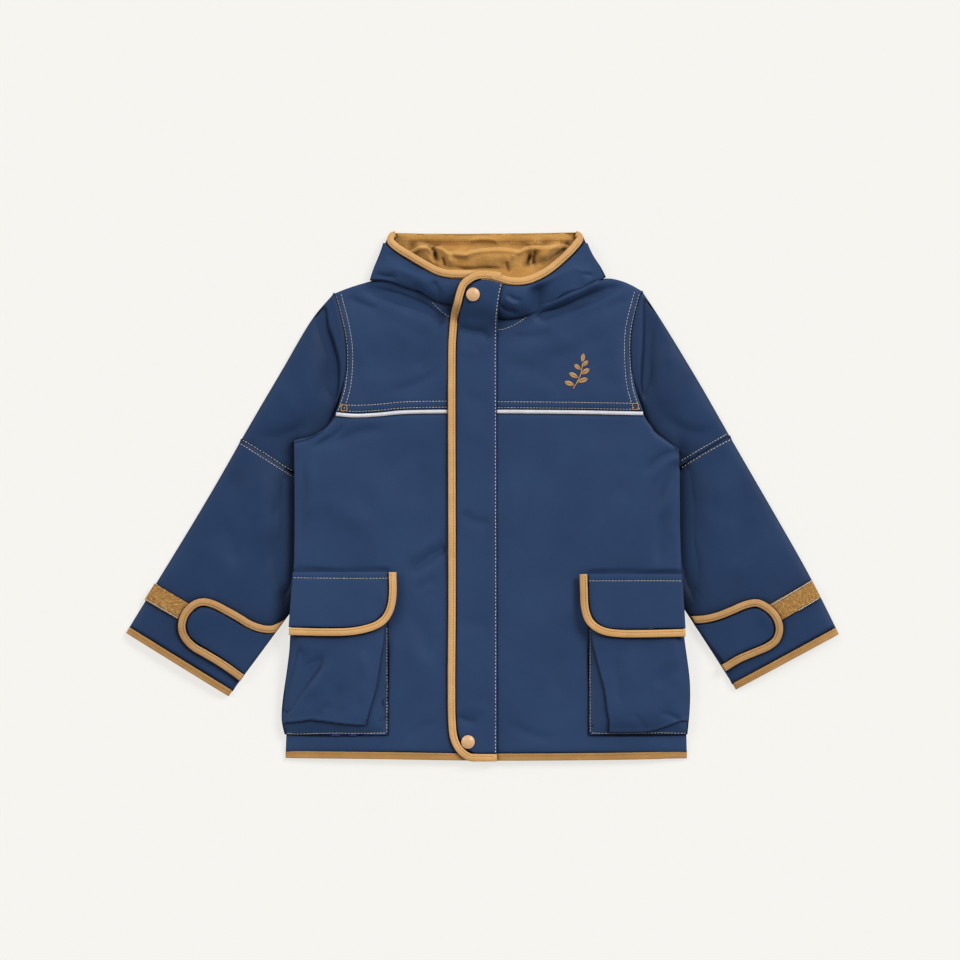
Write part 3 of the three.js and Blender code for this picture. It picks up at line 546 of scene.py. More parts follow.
finishes = {
    "shell": clothFinish("coated_shell_cloth", shellLook),
    "sleeveRight": clothFinish("coated_shell_cloth_right_sleeve", {**sleeveLook, "grain": 60}),
    "sleeveLeft": clothFinish("coated_shell_cloth_left_sleeve", {**sleeveLook, "grain": -60}),
    # the pocket bags: the shell cloth with deeper painted shade reaching further, dark in the folded-away gussets
    "pocket": clothFinish("coated_shell_cloth_pockets", {**shellLook, "hollow": 18, "deep": 2.5}),
    "hood": clothFinish("coated_shell_cloth_hood", {**shellLook, "grain": 30, "colour": (43, 66, 101)}),
    "binding": clothFinish("gold_binding_tape", bindingLook),
    "tabBinding": clothFinish("gold_binding_tape_tabs", {**bindingLook, "colour": (190, 147, 96),
                                                         "second": (176, 133, 82)}),
    # a darker copy of the binding tape: painted shade for the tape where it wraps round the hem and cuff edges
    "edgeBinding": clothFinish("gold_binding_tape_edges", {**bindingLook, "colour": (178, 134, 78),
                                                           "second": (165, 122, 68)}),
    "fleece": clothFinish("gold_fleece", fleeceLook),
    "piping": clothFinish("reflective_piping_cloth", {
        "colour": (224, 222, 226), "second": (206, 206, 212), "patch": 9, "fleck": 0.08, "fleckSize": 0.5,
        "rough": 0.42, "specular": 0.5, "sheen": 0.05, "yarn": 0.35, "weaveDepth": 0.04, "metal": 0.15,
        "rumple": 5, "rumpleDepth": 0.12}),
    "loops": clothFinish("loop_tape_pile", {
        "colour": (186, 142, 84), "second": (150, 108, 56), "patch": 2.6, "fleck": 0.4, "fleckSize": 1.5,
        "rough": 0.95, "specular": 0.15, "sheen": 0.4, "sheenColour": (230, 195, 140),
        "yarn": 1.1, "weaveDepth": 0.2, "loose": 9.0, "nap": 1.0, "napDepth": 0.7, "napStrength": 1.0,
        "rumple": 2.6, "rumpleDepth": 0.4}),
    "thread": clothFinish("gold_sewing_thread", {
        **threadLook, "colour": (232, 223, 206), "second": (216, 204, 182), "sheen": 0.3, "sheenColour": (240, 215,
                170)}),
    "silk": clothFinish("gold_embroidery_thread", {
        **threadLook, "colour": (212, 166, 104), "second": (196, 148, 88), "patch": 5, "fleck": 0.1, "rough": 0.45,
        "specular": 0.5, "sheen": 0.3, "sheenColour": (245, 220, 175), "weaveDepth": 0.08}),
    "goldThread": clothFinish("gold_bar_tack_thread", {**threadLook, "colour": (214, 160, 84),
                                                       "second": (198, 144, 70)}),
    "darkThread": clothFinish("gold_sewing_thread_on_binding", {
        **threadLook, "colour": (150, 104, 58), "second": (132, 90, 48), "rough": 0.65, "specular": 0.3}),
}
print("finishes ready")


# The row of stitches along a binding tape, and the bolder one on a cuff or hem.
def tapeStitches(name, run, tapeName):
    stitches(name, [run], [tapeName], finishes["darkThread"], long=2.1, gap=0.8, thick=0.5)


def edgeStitches(name, runs, piece):
    stitches(name, runs, [piece], finishes["silk"], long=2.1, gap=0.8, thick=0.7, sunk=-0.05)


# camera, light and table
cameraData = bpy.data.cameras.new("camera")
camera = bpy.data.objects.new("camera", cameraData)
bpy.context.scene.collection.objects.link(camera)
camera.location = (-0.003, 0.0165, 6.0)
viewWidth, viewDistance = 0.96, 5.99  # metres across at the coat, and from there up to the camera
cameraData.sensor_width = 36
cameraData.lens = cameraData.sensor_width * viewDistance / viewWidth
cameraData.clip_end = 50
bpy.context.scene.camera = camera

lights = {
    "window": {"toward": (0.85, 0.78, 1.0), "strength": 2.65, "softness": 24},
    "second_window": {"toward": (-1.0, 0.5, 1.0), "strength": 1.25, "softness": 30},
}
for name, light in lights.items():
    data = bpy.data.lights.new(name, "SUN")
    data.energy = light["strength"]
    data.angle = math.radians(light["softness"])
    lamp = bpy.data.objects.new(name, data)
    bpy.context.scene.collection.objects.link(lamp)
    lamp.rotation_mode = "QUATERNION"
    lamp.rotation_quaternion = Vector(light["toward"]).to_track_quat("Z", "Y")

world = bpy.data.worlds.new("studio")
bpy.context.scene.world = world
world.use_nodes = True
sky = world.node_tree.nodes["Background"]
sky.inputs["Color"].default_value = (1.0, 0.99, 0.975, 1)
sky.inputs["Strength"].default_value = 0.22
bpy.context.scene.view_settings.view_transform = "Standard"

floorMaterial = bpy.data.materials.new("pale_table")
floorMaterial.use_nodes = True
paint = floorMaterial.node_tree.nodes["Principled BSDF"]
for socket, value in (("Base Color", (0.2, 0.198, 0.191, 1)), ("Emission Color", (1.0, 0.985, 0.945, 1)),
                      ("Emission Strength", 0.71), ("Roughness", 0.9), ("Specular IOR Level", 0.1)):
    paint.inputs[socket].default_value = value
sweep = [(8000, 0), (8500, 40), (8850, 220), (9000, 700), (9050, 1700)]  # flat, then up all round
sides = 72
around = [(math.cos(a), math.sin(a)) for a in np.linspace(0, 2 * math.pi, sides + 1)[:-1]]
floorMesh = meshFrom([(r * c, r * s, z) for r, z in sweep for c, s in around],
                     [tuple(range(sides))] + walls(len(sweep), sides))
floor = bpy.data.objects.new("table_top", floorMesh)
floorMesh.materials.append(floorMaterial)
bpy.context.scene.collection.objects.link(floor)
floor.location.z = -0.0002
print("camera, light and table ready")


# the cut of every piece
armhole = {
    "right": smoothLine([(-149, 203), (-139.5, 165), (-137, 140), (-139.5, 109), (-147, 84.5)]),
    "left": smoothLine([(159, 205.5), (150, 170), (148.5, 145), (151.5, 109), (160, 82.5)]),
}
pipingLine = {
    "right": smoothLine([(-147, 82.3), (-128, 80.8), (-103, 82), (-83, 84), (-34, 85), (1.85, 85)]),
    "left": smoothLine([(2.15, 85), (40, 84.8), (100, 84.2), (160, 83)]),
}

# back
back = fineCloth("back", finishes["shell"], levels=2, seamDip=0.3)
lay(back, soft=(), under=[
    crease([(-130, 180), (-70, 160), (-10, 168), (40, 150)], (5, 8), 1.2),
    crease([(-150, 60), (-96, 30), (-60, -20)], 7, 1.0, 1.7),
    crease([(140, 170), (96, 140), (60, 90)], 8, 1.1),
    crease([(170, 40), (120, 10), (96, -50), (110, -110)], (6, 9), 1.2),
    crease([(-20, 60), (-4, -40), (-16, -150)], 9, 0.9),
    crease([(-160, -90), (-120, -130), (-104, -200)], 6, 1.0, 1.6),
    crease([(60, -160), (96, -196), (150, -214)], 7, 0.9),
])
print("back done")

# front yokes
yoke = {
    "right": {
        "creases": [
            crease([(-126, 213), (-104, 206), (-80, 199), (-58, 190), (-36, 176)], (4, 11), -3.6, fade=(0.3, 0.05)),
            crease([(-134, 206), (-112, 197), (-88, 187), (-66, 174)], (4, 8), 0.7),
            crease([(-138, 201), (-118, 192), (-100, 186)], (3, 5), -1.2, 1.5),
            crease([(-37, 196), (-37, 150), (-38, 112), (-38, 90)], (4, 17), 1.5, fade=(0.1, 0.3)),
            crease([(-62, 176), (-58, 150), (-66, 120)], 12, -1.3),
            crease([(-120, 150), (-92, 160), (-70, 166)], 13, 0.9),
            crease([(-128, 124), (-100, 112), (-66, 116)], 11, 0.9),
            crease([(-98, 104), (-74, 110), (-50, 122), (-40, 134)], (5, 7), -1.1, 1.7),
            crease([(-133, 150), (-126, 128), (-128, 104)], 6, -0.8),
        ],
        "stitches": [
            beside(armhole["right"], -1.7)[3:-1], beside(armhole["right"], -6.7)[2:-1],
            [(x, y + 4.3) for x, y in pipingLine["right"] if -142 < x < -35],
            [(x, y + 10.4) for x, y in pipingLine["right"] if -142.5 < x < -35],
            smoothLine([(-51, 194.5), (-43, 186.5), (-36, 181), (-33, 179.2)]),
        ],
        "tack": (-139, 88.6),
    },
    "left": {
        "creases": [
            crease([(146, 213), (130, 208), (114, 202), (99, 195.5), (84, 190), (66, 184), (48, 178)], (6, 4),
                    -4.6, 1.7, fade=(0.35, 0.15)),
            crease([(148, 208), (126, 198), (106, 189), (84, 181)], (3.5, 6), 1.1, 1.6),
            crease([(124, 219), (107, 210), (88, 201.5), (68, 192), (52, 185)], 5, 4.8, fade=(0.2, 0.35)),
            crease([(148, 198), (136, 192), (120, 184)], (3, 5), -1.0, 1.6),
            crease([(24, 164), (34, 160), (52, 160), (74, 166)], (5, 9), -1.2),
            crease([(26, 146), (60, 152), (96, 160)], 12, 0.9),
            crease([(60, 134), (92, 146), (126, 166)], 8, -0.8),
            crease([(138, 172), (132, 140), (136, 112)], 9, 0.8),
            crease([(126, 150), (118, 128), (122, 104)], 8, -0.6),
            crease([(22, 118), (48, 108), (80, 106)], 9, 0.7),
            crease([(16, 134), (40, 130), (66, 124)], 7, -0.6),
        ],
        "stitches": [
            beside(armhole["left"], 1.7)[3:-1], beside(armhole["left"], 7.0)[2:-1],
            [(x, y + 3.9) for x, y in pipingLine["left"] if 14 < x < 156],
            [(x, y + 9.9) for x, y in pipingLine["left"] if 14 < x < 156],
            smoothLine([(14.6, 167), (19, 167), (29, 170.5), (37, 175), (44, 180)]),
        ],
        "tack": (152.2, 90),
    },
}
for side, cut in yoke.items():
    piece = fineCloth("front_yoke_" + side, finishes["shell"])
    lay(piece, cut["creases"] + sewn(cut["stitches"]), seed=3 if side == "right" else 4, least=3.6)
    stitches("yoke_stitches_" + side, cut["stitches"], [piece], finishes["thread"])
    x, y = cut["tack"]
    box = [[(x + u, y - 3.4), (x + u, y + 3.4)] for u in (-2.9, 2.9)]  # a small square of heavy stitches
    box += [[(x - 3.4, y + v), (x + 3.4, y + v)] for v in (-2.9, 2.9)]
    stitches("bar_tack_" + side, box, [piece], finishes["goldThread"], long=3.2, gap=0.1, thick=1.1, sunk=-0.1)
print("front yokes done")

# lower fronts
lowerFront = {
    "right": [
        crease([(-35, -52), (-50, -62), (-64, -72), (-84, -88)], (4, 9), -2.3, 1.5, fade=(0.05, 0.4)),
        crease([(-38, -40), (-56, -50), (-76, -64)], 6, 1.1),
        crease([(-44, -84), (-58, -88), (-70, -98)], (3, 5), -1.1, 1.5),
        crease([(-172, 46), (-160, 55), (-148, 62), (-138, 75)], (2.6, 4), -2.0, 1.4),
        crease([(-176, 56), (-166, 63), (-156, 68)], 2.6, 1.1, 1.5),
        crease([(-160, 46), (-140, 58), (-116, 66), (-92, 68)], (5, 7), -1.3),
        crease([(-181, 48), (-178, 16), (-180, -20), (-183, -66)], 4.5, -1.6, 1.7),
        crease([(-174, 40), (-171, 10), (-173, -28)], 5, 0.9),
        crease([(-166, 10), (-150, -8), (-126, -22), (-104, -26)], 13, 0.9),
        crease([(-66, 66), (-60, 20), (-64, -20)], 13, -0.8),
        crease([(-120, 34), (-96, 0), (-84, -40)], 15, 0.8),
        crease([(-40, 50), (-48, 10), (-44, -26)], 6, 0.8),
        crease([(-84, -140), (-62, -166), (-46, -200)], 13, 0.9),
        crease([(-76, -106), (-60, -136), (-52, -170)], 9, -0.9),
        crease([(-80, -246), (-64, -232), (-40, -226)], (4, 6), -0.9),
        crease([(-190, -246), (-150, -243), (-110, -246)], 5, 0.5),
        crease([(-98, -138), (-101, -172), (-105, -200), (-110, -232)], (5, 9), -3.4),
        crease([(-190, -74.2), (-140, -74.6), (-93, -74.8)], (1.2, 1.8), -2.6, fade=(0.03, 0.03)),
    ],
    "left": [
        crease([(197, 45), (184, 42), (170, 33), (160, 20)], (2.6, 4), -2.0, 1.4, fade=(0.1, 0.4)),
        crease([(196, 41), (180, 30), (168, 12)], 3, 1.3, 1.6),
        crease([(197, 36), (186, 18), (176, -8), (166, -24)], (3, 5), -2.2, 1.5, fade=(0.1, 0.5)),
        crease([(190, 60), (176, 62), (166, 72)], 3, -1.1, 1.5),
        crease([(192, 10), (188, -20), (190, -52)], 5, 1.0),
        crease([(182, -8), (178, -40), (177, -72)], 5.5, -1.6),
        crease([(156, 58), (126, 46), (92, 48)], 12, 0.9),
        crease([(150, 14), (128, 2), (112, -24)], 9, -0.8),
        crease([(60, 72), (56, 30), (62, -10)], 13, -0.7),
        crease([(120, 10), (96, -20), (84, -60)], 15, 0.7),
        crease([(22, 40), (30, 0), (26, -44)], 6, 0.6),
        crease([(62, -100), (48, -150), (52, -200)], 13, 0.9),
        crease([(92, -116), (78, -156), (72, -206)], 8, -1.2),
        crease([(20, -222), (44, -236), (80, -244)], (4, 6), -1.0, 1.7),
        crease([(120, -247), (150, -244), (190, -248)], 5, 0.5),
        crease([(110, -138), (112, -172), (116, -200), (118, -232)], (9, 5), -3.4),
        crease([(104, -76.4), (150, -76.4), (198, -76.8)], (1.2, 1.8), -2.6, fade=(0.03, 0.03)),
    ],
}
for side, creases in lowerFront.items():
    piece = fineCloth("front_lower_" + side, finishes["shell"])
    lay(piece, creases, soft=((80, 0.6), (32, 0.28), (13, 0.08)), seed=5 if side == "right" else 6, least=3.6)
print("lower fronts done")

# reflective piping
for side, path in pipingLine.items():
    tape("reflective_piping_" + side + "_cord", "reflective_piping_" + side, finishes["piping"], path,
         width=4.0, thick=2.0, crown=0.8, seed=11)
print("piping done")

# sleeves
sleeve = {
    "right": {
        "upper": [
            crease([(-160, 193), (-158.5, 186), (-156.5, 169), (-150.8, 151.5), (-146.2, 134), (-146.4, 111.5),
                    (-149, 88)], (1.7, 11), -4.6, 1.6, fade=(0.12, 0.2)),
            crease([(-156, 192), (-151, 169), (-145.6, 150), (-142, 130), (-142.6, 108)], 2.6, 0.9),
            crease([(-184, 160), (-180, 130), (-176, 100), (-180, 78)], 12, 1.5),
            crease([(-204, 132), (-214, 110), (-232, 84)], 9, -0.7),
            crease([(-230, 62), (-210, 60), (-186, 68), (-168, 80)], (6, 8), -1.4, 1.6),
            crease([(-212, 116), (-194, 96), (-182, 74)], 9, 0.9),
        ],
        "lower": [
            crease([(-228, 36), (-222, 6), (-221, -30), (-226, -66)], 14, 2.0, fade=(0.3, 0.35)),
            crease([(-209, 4), (-210, -36), (-214, -78)], 4.5, -1.0),
            crease([(-250, 30), (-246, 0), (-240, -34)], 7, -0.8),
            crease([(-286, -40), (-262, -62), (-244, -92)], 11, 1.0),
            crease([(-262, -20), (-250, -46), (-246, -72)], 7, -0.8),
            crease([(-312, -116), (-292, -126), (-272, -134)], 6, 0.6),
        ],
        "byBody": [crease([(-184, 76), (-186, 56), (-188, 30), (-190, 0), (-191, -30), (-193, -60), (-197, -90),
                           (-203, -116)], (4, 13), -5.2, 1.7, fade=(0.3, 0.25))],
        "cuffStitch": [(-353.6, -133.5), (-253.6, -195.9)],
        "stitches": [smoothLine([(-241, 57), (-218, 43), (-196, 28.5), (-190.5, 25.5)]),
                     smoothLine([(-243, 53), (-216, 36), (-191, 20)])],
    },
    "left": {
        "upper": [
            crease([(162, 200), (163, 176.5), (162.4, 151.5), (161, 126.5), (160.4, 108), (164, 90)], (9, 1.6),
                    -4.4, 1.6, fade=(0.1, 0.3)),
            crease([(157, 196), (156.4, 170), (155.4, 140), (156, 112)], 2.6, 0.9),
            crease([(190, 158), (186, 130), (184, 102), (190, 80)], 12, 1.4),
            crease([(212, 130), (222, 108), (236, 88)], 9, -0.7),
            crease([(238, 68), (218, 64), (196, 70), (178, 86)], (8, 6), -1.3, 1.6),
        ],
        "lower": [
            crease([(238, 40), (232, 6), (230, -30), (234, -66)], 14, 1.9, fade=(0.3, 0.35)),
            crease([(220, 14), (219, -30), (222, -66)], 5, -0.8),
            crease([(262, 28), (258, -4), (250, -36)], 7, -0.7),
            crease([(292, -36), (270, -60), (250, -90)], 11, 1.0),
            crease([(272, -18), (258, -44), (252, -72)], 7, -0.7),
        ],
        "byBody": [crease([(193, 72), (197, 54), (198, 30), (200, 0), (201, -30), (203, -60), (207, -90),
                           (212, -112)], (12, 4), -5.2, 1.7, fade=(0.3, 0.25))],
        "cuffStitch": [(353.2, -132.8), (253.8, -189.8)],
        "stitches": [smoothLine([(245, 63), (222, 50), (198, 35.5)]),
                     smoothLine([(247.5, 57), (222, 43), (198, 28.5)])],
    },
}


# How far the ends of a sleeve run on, furthest under the armpit. The folds along the tube stay.
def sleeveReach(x, y, outward):
    if outward > 0.7 or (outward < -0.7 and y < 30):
        return 0
    tuck = 5.6 * ease((y - 34) / 12) * ease((110 - y) / 10) if outward < -0.6 else 0
    return 0.8 + 0.5 * ease((y - 10) / 10) + 0.6 * ease((y - 68) / 20) + tuck


for side, cut in sleeve.items():
    finish = finishes["sleeve" + side.capitalize()]
    for part, seed in (("upper", 7), ("lower", 8)):
        piece = fineCloth("sleeve_" + part + "_" + side, finish, seamDip=0.2, rounded=0.5, sewnIn=sleeveReach)
        upper = upperSide(piece)
        lay(piece, cut[part] + cut["byBody"] + sewn(cut["stitches"]), seed=seed + (2 if side == "left" else 0),
            least=1.1)
        levelSeam(piece, upper, np.vstack([evenly(np.asarray(line), 1.5) for line in cut["stitches"]]))
    stitches("elbow_stitches_" + side, cut["stitches"],
             ["sleeve_upper_" + side + "_cloth", "sleeve_lower_" + side + "_cloth"], finishes["thread"])
    fineCloth("cuff_binding_" + side, finishes["edgeBinding"], seamDip=0.0, endCrease=0.7,
              sewnIn=lambda x, y, outward: 0.5 if abs(outward) < 0.7 else 0)
    edgeStitches("cuff_binding_stitches_" + side, [cut["cuffStitch"]], "cuff_binding_" + side + "_cloth")
print("sleeves done")

# hem binding
hem = fineCloth("hem_binding", finishes["edgeBinding"], seamDip=0.0, endCrease=0.7,
                sewnIn=lambda x, y, outward: 0.6 if y > -260 and abs(outward) < 0.7 else 0)
co = pointsOf(hem)
co[:, 1] += 0.8 * ease((co[:, 0] - 178) / 5) * ease((co[:, 1] + 258.8) / 1.6)  # reaches the left front's edge
movePoints(hem, co)
hemTop = topOf("hem_binding_cloth")


# Where a piece starts, going down the garment at x.
def upperEdge(height, x, y, lowest):
    while y > lowest and height(x, y) < nowhere:
        y -= 0.2
    return y


hemRuns = [[(x, upperEdge(hemTop, x, -250, -270) - 1.5) for x in np.arange(*span)]
           for span in ((-196, -30, 3), (15, 202, 3))]
edgeStitches("hem_binding_stitches", [smoothLine(run) for run in hemRuns], "hem_binding_cloth")
print("hem done")


# Whatever reaches past a straight edge turns down round it.
def turnUnder(piece, at, outward):
    outward = np.array(outward) / np.linalg.norm(outward)
    co = pointsOf(piece)
    past = (co[:, :2] - np.array(at)) @ outward
    turned = past > 0
    co[turned, :2] -= (past[turned] * 0.85)[:, None] * outward
    co[turned, 2] -= past[turned] * 1.1
    co[:, 2] = np.maximum(co[:, 2], 0.2)
    movePoints(piece, co)


# cuff tabs
cuffTab = {
    "right": [(-196, -126), (-202, -129.5), (-212, -133), (-223, -131.8), (-234, -127.5), (-244, -121.3),
              (-256.5, -114.3),
              (-269, -108), (-278.5, -105.5), (-286.5, -107), (-294, -112.5), (-299, -120), (-301.2, -130),
              (-299, -139.5), (-290.5, -149.5), (-278, -157), (-263, -166), (-251.5, -173.8), (-241, -181.5), (-236,
                      -185)],
    "left": [(204, -123.8), (210, -123.5), (223, -122.5), (235, -119.5), (249, -114), (262, -108.5), (274, -106.5),
             (283, -110.5), (290.5, -117), (295, -125), (296.3, -134), (293, -143.5), (285, -150), (270, -156.5),
             (256, -162.5), (243.5, -170), (238, -173.2)],
}
tabEnd = {"right": ((-203.4, -129.4), (0.804, -0.594)), "left": ((209.6, -125.5), (-0.846, -0.534))}
loopEnd = {"right": ((-324.5, -87.5), (-0.837, 0.547), 5.0), "left": ((332, -84), (0.86, 0.51), 4.0)}  # outer ends
loopBulge = {"right": 2.4, "left": 0.8}
loopEdges = {"right": [[(-327.6, -87.4), (-296, -105.6)], [(-337.6, -102.8), (-305, -121.6)]],
             "left": [[(328.6, -84.4), (289, -108.4)], [(338, -100.6), (300, -123)]]}
sleeveEdge = {"right": [((-200.4, -128.8), (0.79, -0.612)), ((-240.6, -181.4), (0.81, -0.586))],
              "left": [((207.6, -122.4), (-0.84, -0.545)), ((240.8, -171.8), (-0.85, -0.53))]}
for side, edge in cuffTab.items():
    loopsPiece = fineCloth("loop_strip_" + side, finishes["loops"], seamDip=0.15, seamReach=1.2, rounded=0.4)
    co = pointsOf(loopsPiece)
    upper = upperSide(loopsPiece)
    x, y = co[upper, 0], co[upper, 1]
    co[upper, 2] += 0.24 * uneven(x, y, 1.3, 41) + 0.14 * uneven(x, y, 0.7, 42)  # the loops of the tape
    at, outward, length = loopEnd[side]
    reach = length - np.abs((co[:, :2] - np.array(at)) @ np.array(outward))
    co[:, :2] += (loopBulge[side] * ease(reach / length))[:, None] * np.array(outward)
    movePoints(loopsPiece, co)
    stitches("loop_strip_edges_" + side, loopEdges[side], [loopsPiece], finishes["thread"], long=2.6, gap=-0.4,
             thick=0.9, sunk=-0.3)
    path = smoothLine(edge)
    inner = beside(path, -2.6 if side == "right" else 2.6)
    tab = fineCloth("cuff_tab_" + side, finishes["sleeve" + side.capitalize()], seamDip=0.5)
    lay(tab, sewn([inner[8:-8]], 0.2), soft=((38, 0.4), (16, 0.14)), seed=12)
    binding = tape("cuff_tab_binding_" + side + "_tape", "cuff_tab_binding_" + side, finishes["tabBinding"],
                   path if side == "left" else path[::-1], groove=0.42)
    for at, outward in sleeveEdge[side]:
        turnUnder(binding, at, outward)
    turnUnder(tab, *tabEnd[side])
    tapeStitches("cuff_tab_stitches_" + side, beside(path, -1.6 if side == "right" else 1.6)[13:-10],
                 "cuff_tab_binding_" + side + "_tape")
print("cuff tabs done")


# Outside the front panel of a pocket bag, its gusset folds away and lies low on the coat.
def foldAway(bag, fold, foot, sign, folds):
    ground = topOf("front_lower_right_cloth" if sign > 0 else "front_lower_left_cloth")
    co = pointsOf(bag)
    upper = upperSide(bag)
    foldX = np.interp(-co[:, 1], -fold[:, 1], fold[:, 0])
    order = np.argsort(foot[:, 0])
    footY = np.interp(co[:, 0], foot[order, 0], foot[order, 1])
    beyond = np.maximum(sign * (co[:, 0] - foldX), footY - co[:, 1])
    shut = ease(beyond / 1.2)
    gathered = creaseHeights(folds, co[:, 0], co[:, 1])
    for i in np.nonzero((shut > 0) & upper)[0]:
        x, y, z = co[i]
        base = ground(x, y)
        if base < nowhere:
            base = z - 3
        low = base + 0.4 + 2.4 * max(uneven(x, y, 8, 51), 0) * ease(beyond[i] / 7) + 0.7 * gathered[i]
        co[i, 2] = z + shut[i] * (min(z, max(low, base + 0.3)) - z)
    ridge = np.exp(-((beyond + 1.4) / 1.8) ** 2) * upper
    co[:, 2] += 0.7 * ridge
    movePoints(bag, co)


# pockets
pocket = {
    "right": {
        "edge": [(-90.3, -75.5), (-90.3, -100), (-93, -113), (-98, -122), (-105, -127.6), (-115, -131.5),
                 (-133, -134.8), (-160, -135.3), (-195.6, -134.4)],
        "fold": [(-98, -130), (-98.5, -140), (-103, -168), (-107, -193), (-113, -213), (-117, -227.5)],
        "foot": [(-200, -226.5), (-183, -225), (-173, -223.5), (-162, -224.5), (-138, -227.5), (-117, -229)],
        "creases": [
            crease([(-157, -154), (-162, -166), (-175.5, -184), (-189, -202), (-199, -217)], (2.6, 9),
                    -5.0, 1.5, fade=(0.35, 0.1)),
            crease([(-150, -160), (-160, -180), (-176, -203)], 6, 1.2),
            crease([(-182, -146), (-186, -170), (-193, -192)], (6, 3), -2.6, 1.5),
            crease([(-124, -150), (-118, -180), (-122, -212)], 6, 0.9),
            crease([(-140, -226), (-146, -206), (-138, -186)], 7, -0.9),
            crease([(-168, -222), (-160, -212), (-152, -206)], 3.5, -0.9, 1.6),
        ],
        "gusset": [
            crease([(-95.6, -202), (-105, -209.5), (-113.5, -222)], (3, 1.6), 3.4, 1.5, fade=(0.1, 0.2)),
            crease([(-96.5, -219.5), (-106, -224.4), (-115.5, -228.6)], (2.6, 1.5), 2.8, 1.5, fade=(0.1, 0.2)),
            crease([(-98.4, -150), (-102, -176), (-103, -198)], 1.8, 2.0, 1.6),
            crease([(-196, -231.4), (-170, -229.6), (-146, -232)], 2.4, 1.6),
        ],
        "stitches": [[(-96.2, -131), (-96, -180), (-96.2, -236.6)],
                     smoothLine([(-196.5, -237), (-183, -237.6), (-168, -237), (-150, -236.6), (-130, -236.8),
                                 (-97, -236.6)])],
        "reach": 1.2,
        "flapStitch": smoothLine([(-189.4, -81), (-160, -81.4), (-130, -81.6), (-94.6, -81.6)]),
    },
    "left": {
        "edge": [(100.3, -77.5), (100.8, -95), (101.7, -111), (105.5, -123), (112, -130), (122, -134.8),
                 (137, -136.8), (157, -137), (204, -136)],
        "fold": [(108, -132), (108.5, -144), (112, -158.5), (117, -178.5), (121, -193.5), (124, -213.5), (126, -224)],
        "foot": [(206, -224), (197, -225), (182, -230.5), (167, -235), (137, -236), (121, -236)],
        "creases": [
            crease([(204, -170), (186, -178), (170, -192)], (5, 8), -0.9),
            crease([(198, -196), (178, -206), (164, -222)], 7, 0.8),
            crease([(150, -146), (146, -170), (150, -196)], 7, 0.8),
            crease([(134, -156), (134, -186), (138, -214)], 5, -0.9),
            crease([(201, -226), (188, -219), (176, -216)], 3.4, -1.4, 1.5),
            crease([(166, -232), (156, -224), (150, -214)], 3.5, -0.8, 1.6),
        ],
        "gusset": [
            crease([(107.6, -213), (114, -209), (122, -206)], (1.6, 3), 2.8, 1.5, fade=(0.1, 0.2)),
            crease([(108, -230), (116, -224.5), (124, -219)], (1.5, 3), 3.2, 1.5, fade=(0.1, 0.2)),
            crease([(108.6, -150), (112, -172), (114, -194)], 1.8, 1.8, 1.6),
            crease([(196, -231.5), (184, -234), (176, -235.4)], 1.8, 1.4),
        ],
        "stitches": [[(107.2, -133), (107, -180), (107.2, -236.4)],
                     smoothLine([(203.5, -237), (180, -236.4), (150, -236.8), (130, -237), (108, -236.6)])],
        "reach": 3.4,
        "flapStitch": smoothLine([(198, -84.2), (160, -84), (130, -84.2), (105, -84.2)]),
    },
}
for side, cut in pocket.items():
    sign = 1 if side == "right" else -1
    bag = fineCloth("pocket_bag_" + side, finishes["pocket"], seamDip=0.2)
    lay(bag, cut["creases"], soft=((30, 0.4), (13, 0.16)), seed=13)
    foldAway(bag, smoothLine(cut["fold"]), smoothLine(cut["foot"]), sign, cut["gusset"])
    stitches("pocket_bag_stitches_" + side, cut["stitches"], [bag], finishes["thread"])
    flap = fineCloth("pocket_flap_" + side, finishes["shell"], seamDip=0.4)
    co = pointsOf(flap)  # the outer end reaches the side seam
    co[:, 0] -= sign * cut["reach"] * ease((np.abs(co[:, 0]) - 165) / 25)
    movePoints(flap, co)
    lay(flap, sewn([cut["flapStitch"]]), soft=((40, 0.5), (18, 0.2)), seed=14 if side == "right" else 24)
    stitches("pocket_flap_stitches_" + side, [cut["flapStitch"]], [flap], finishes["thread"])
    path = smoothLine(cut["edge"])
    tape("flap_binding_" + side + "_tape", "flap_binding_" + side, finishes["binding"],
         path[:-2], groove=0.42 if side == "right" else -0.42)
    tapeStitches("flap_binding_stitches_" + side, beside(path, 1.6 * sign)[2:-4], "flap_binding_" + side + "_tape")
print("pockets done")

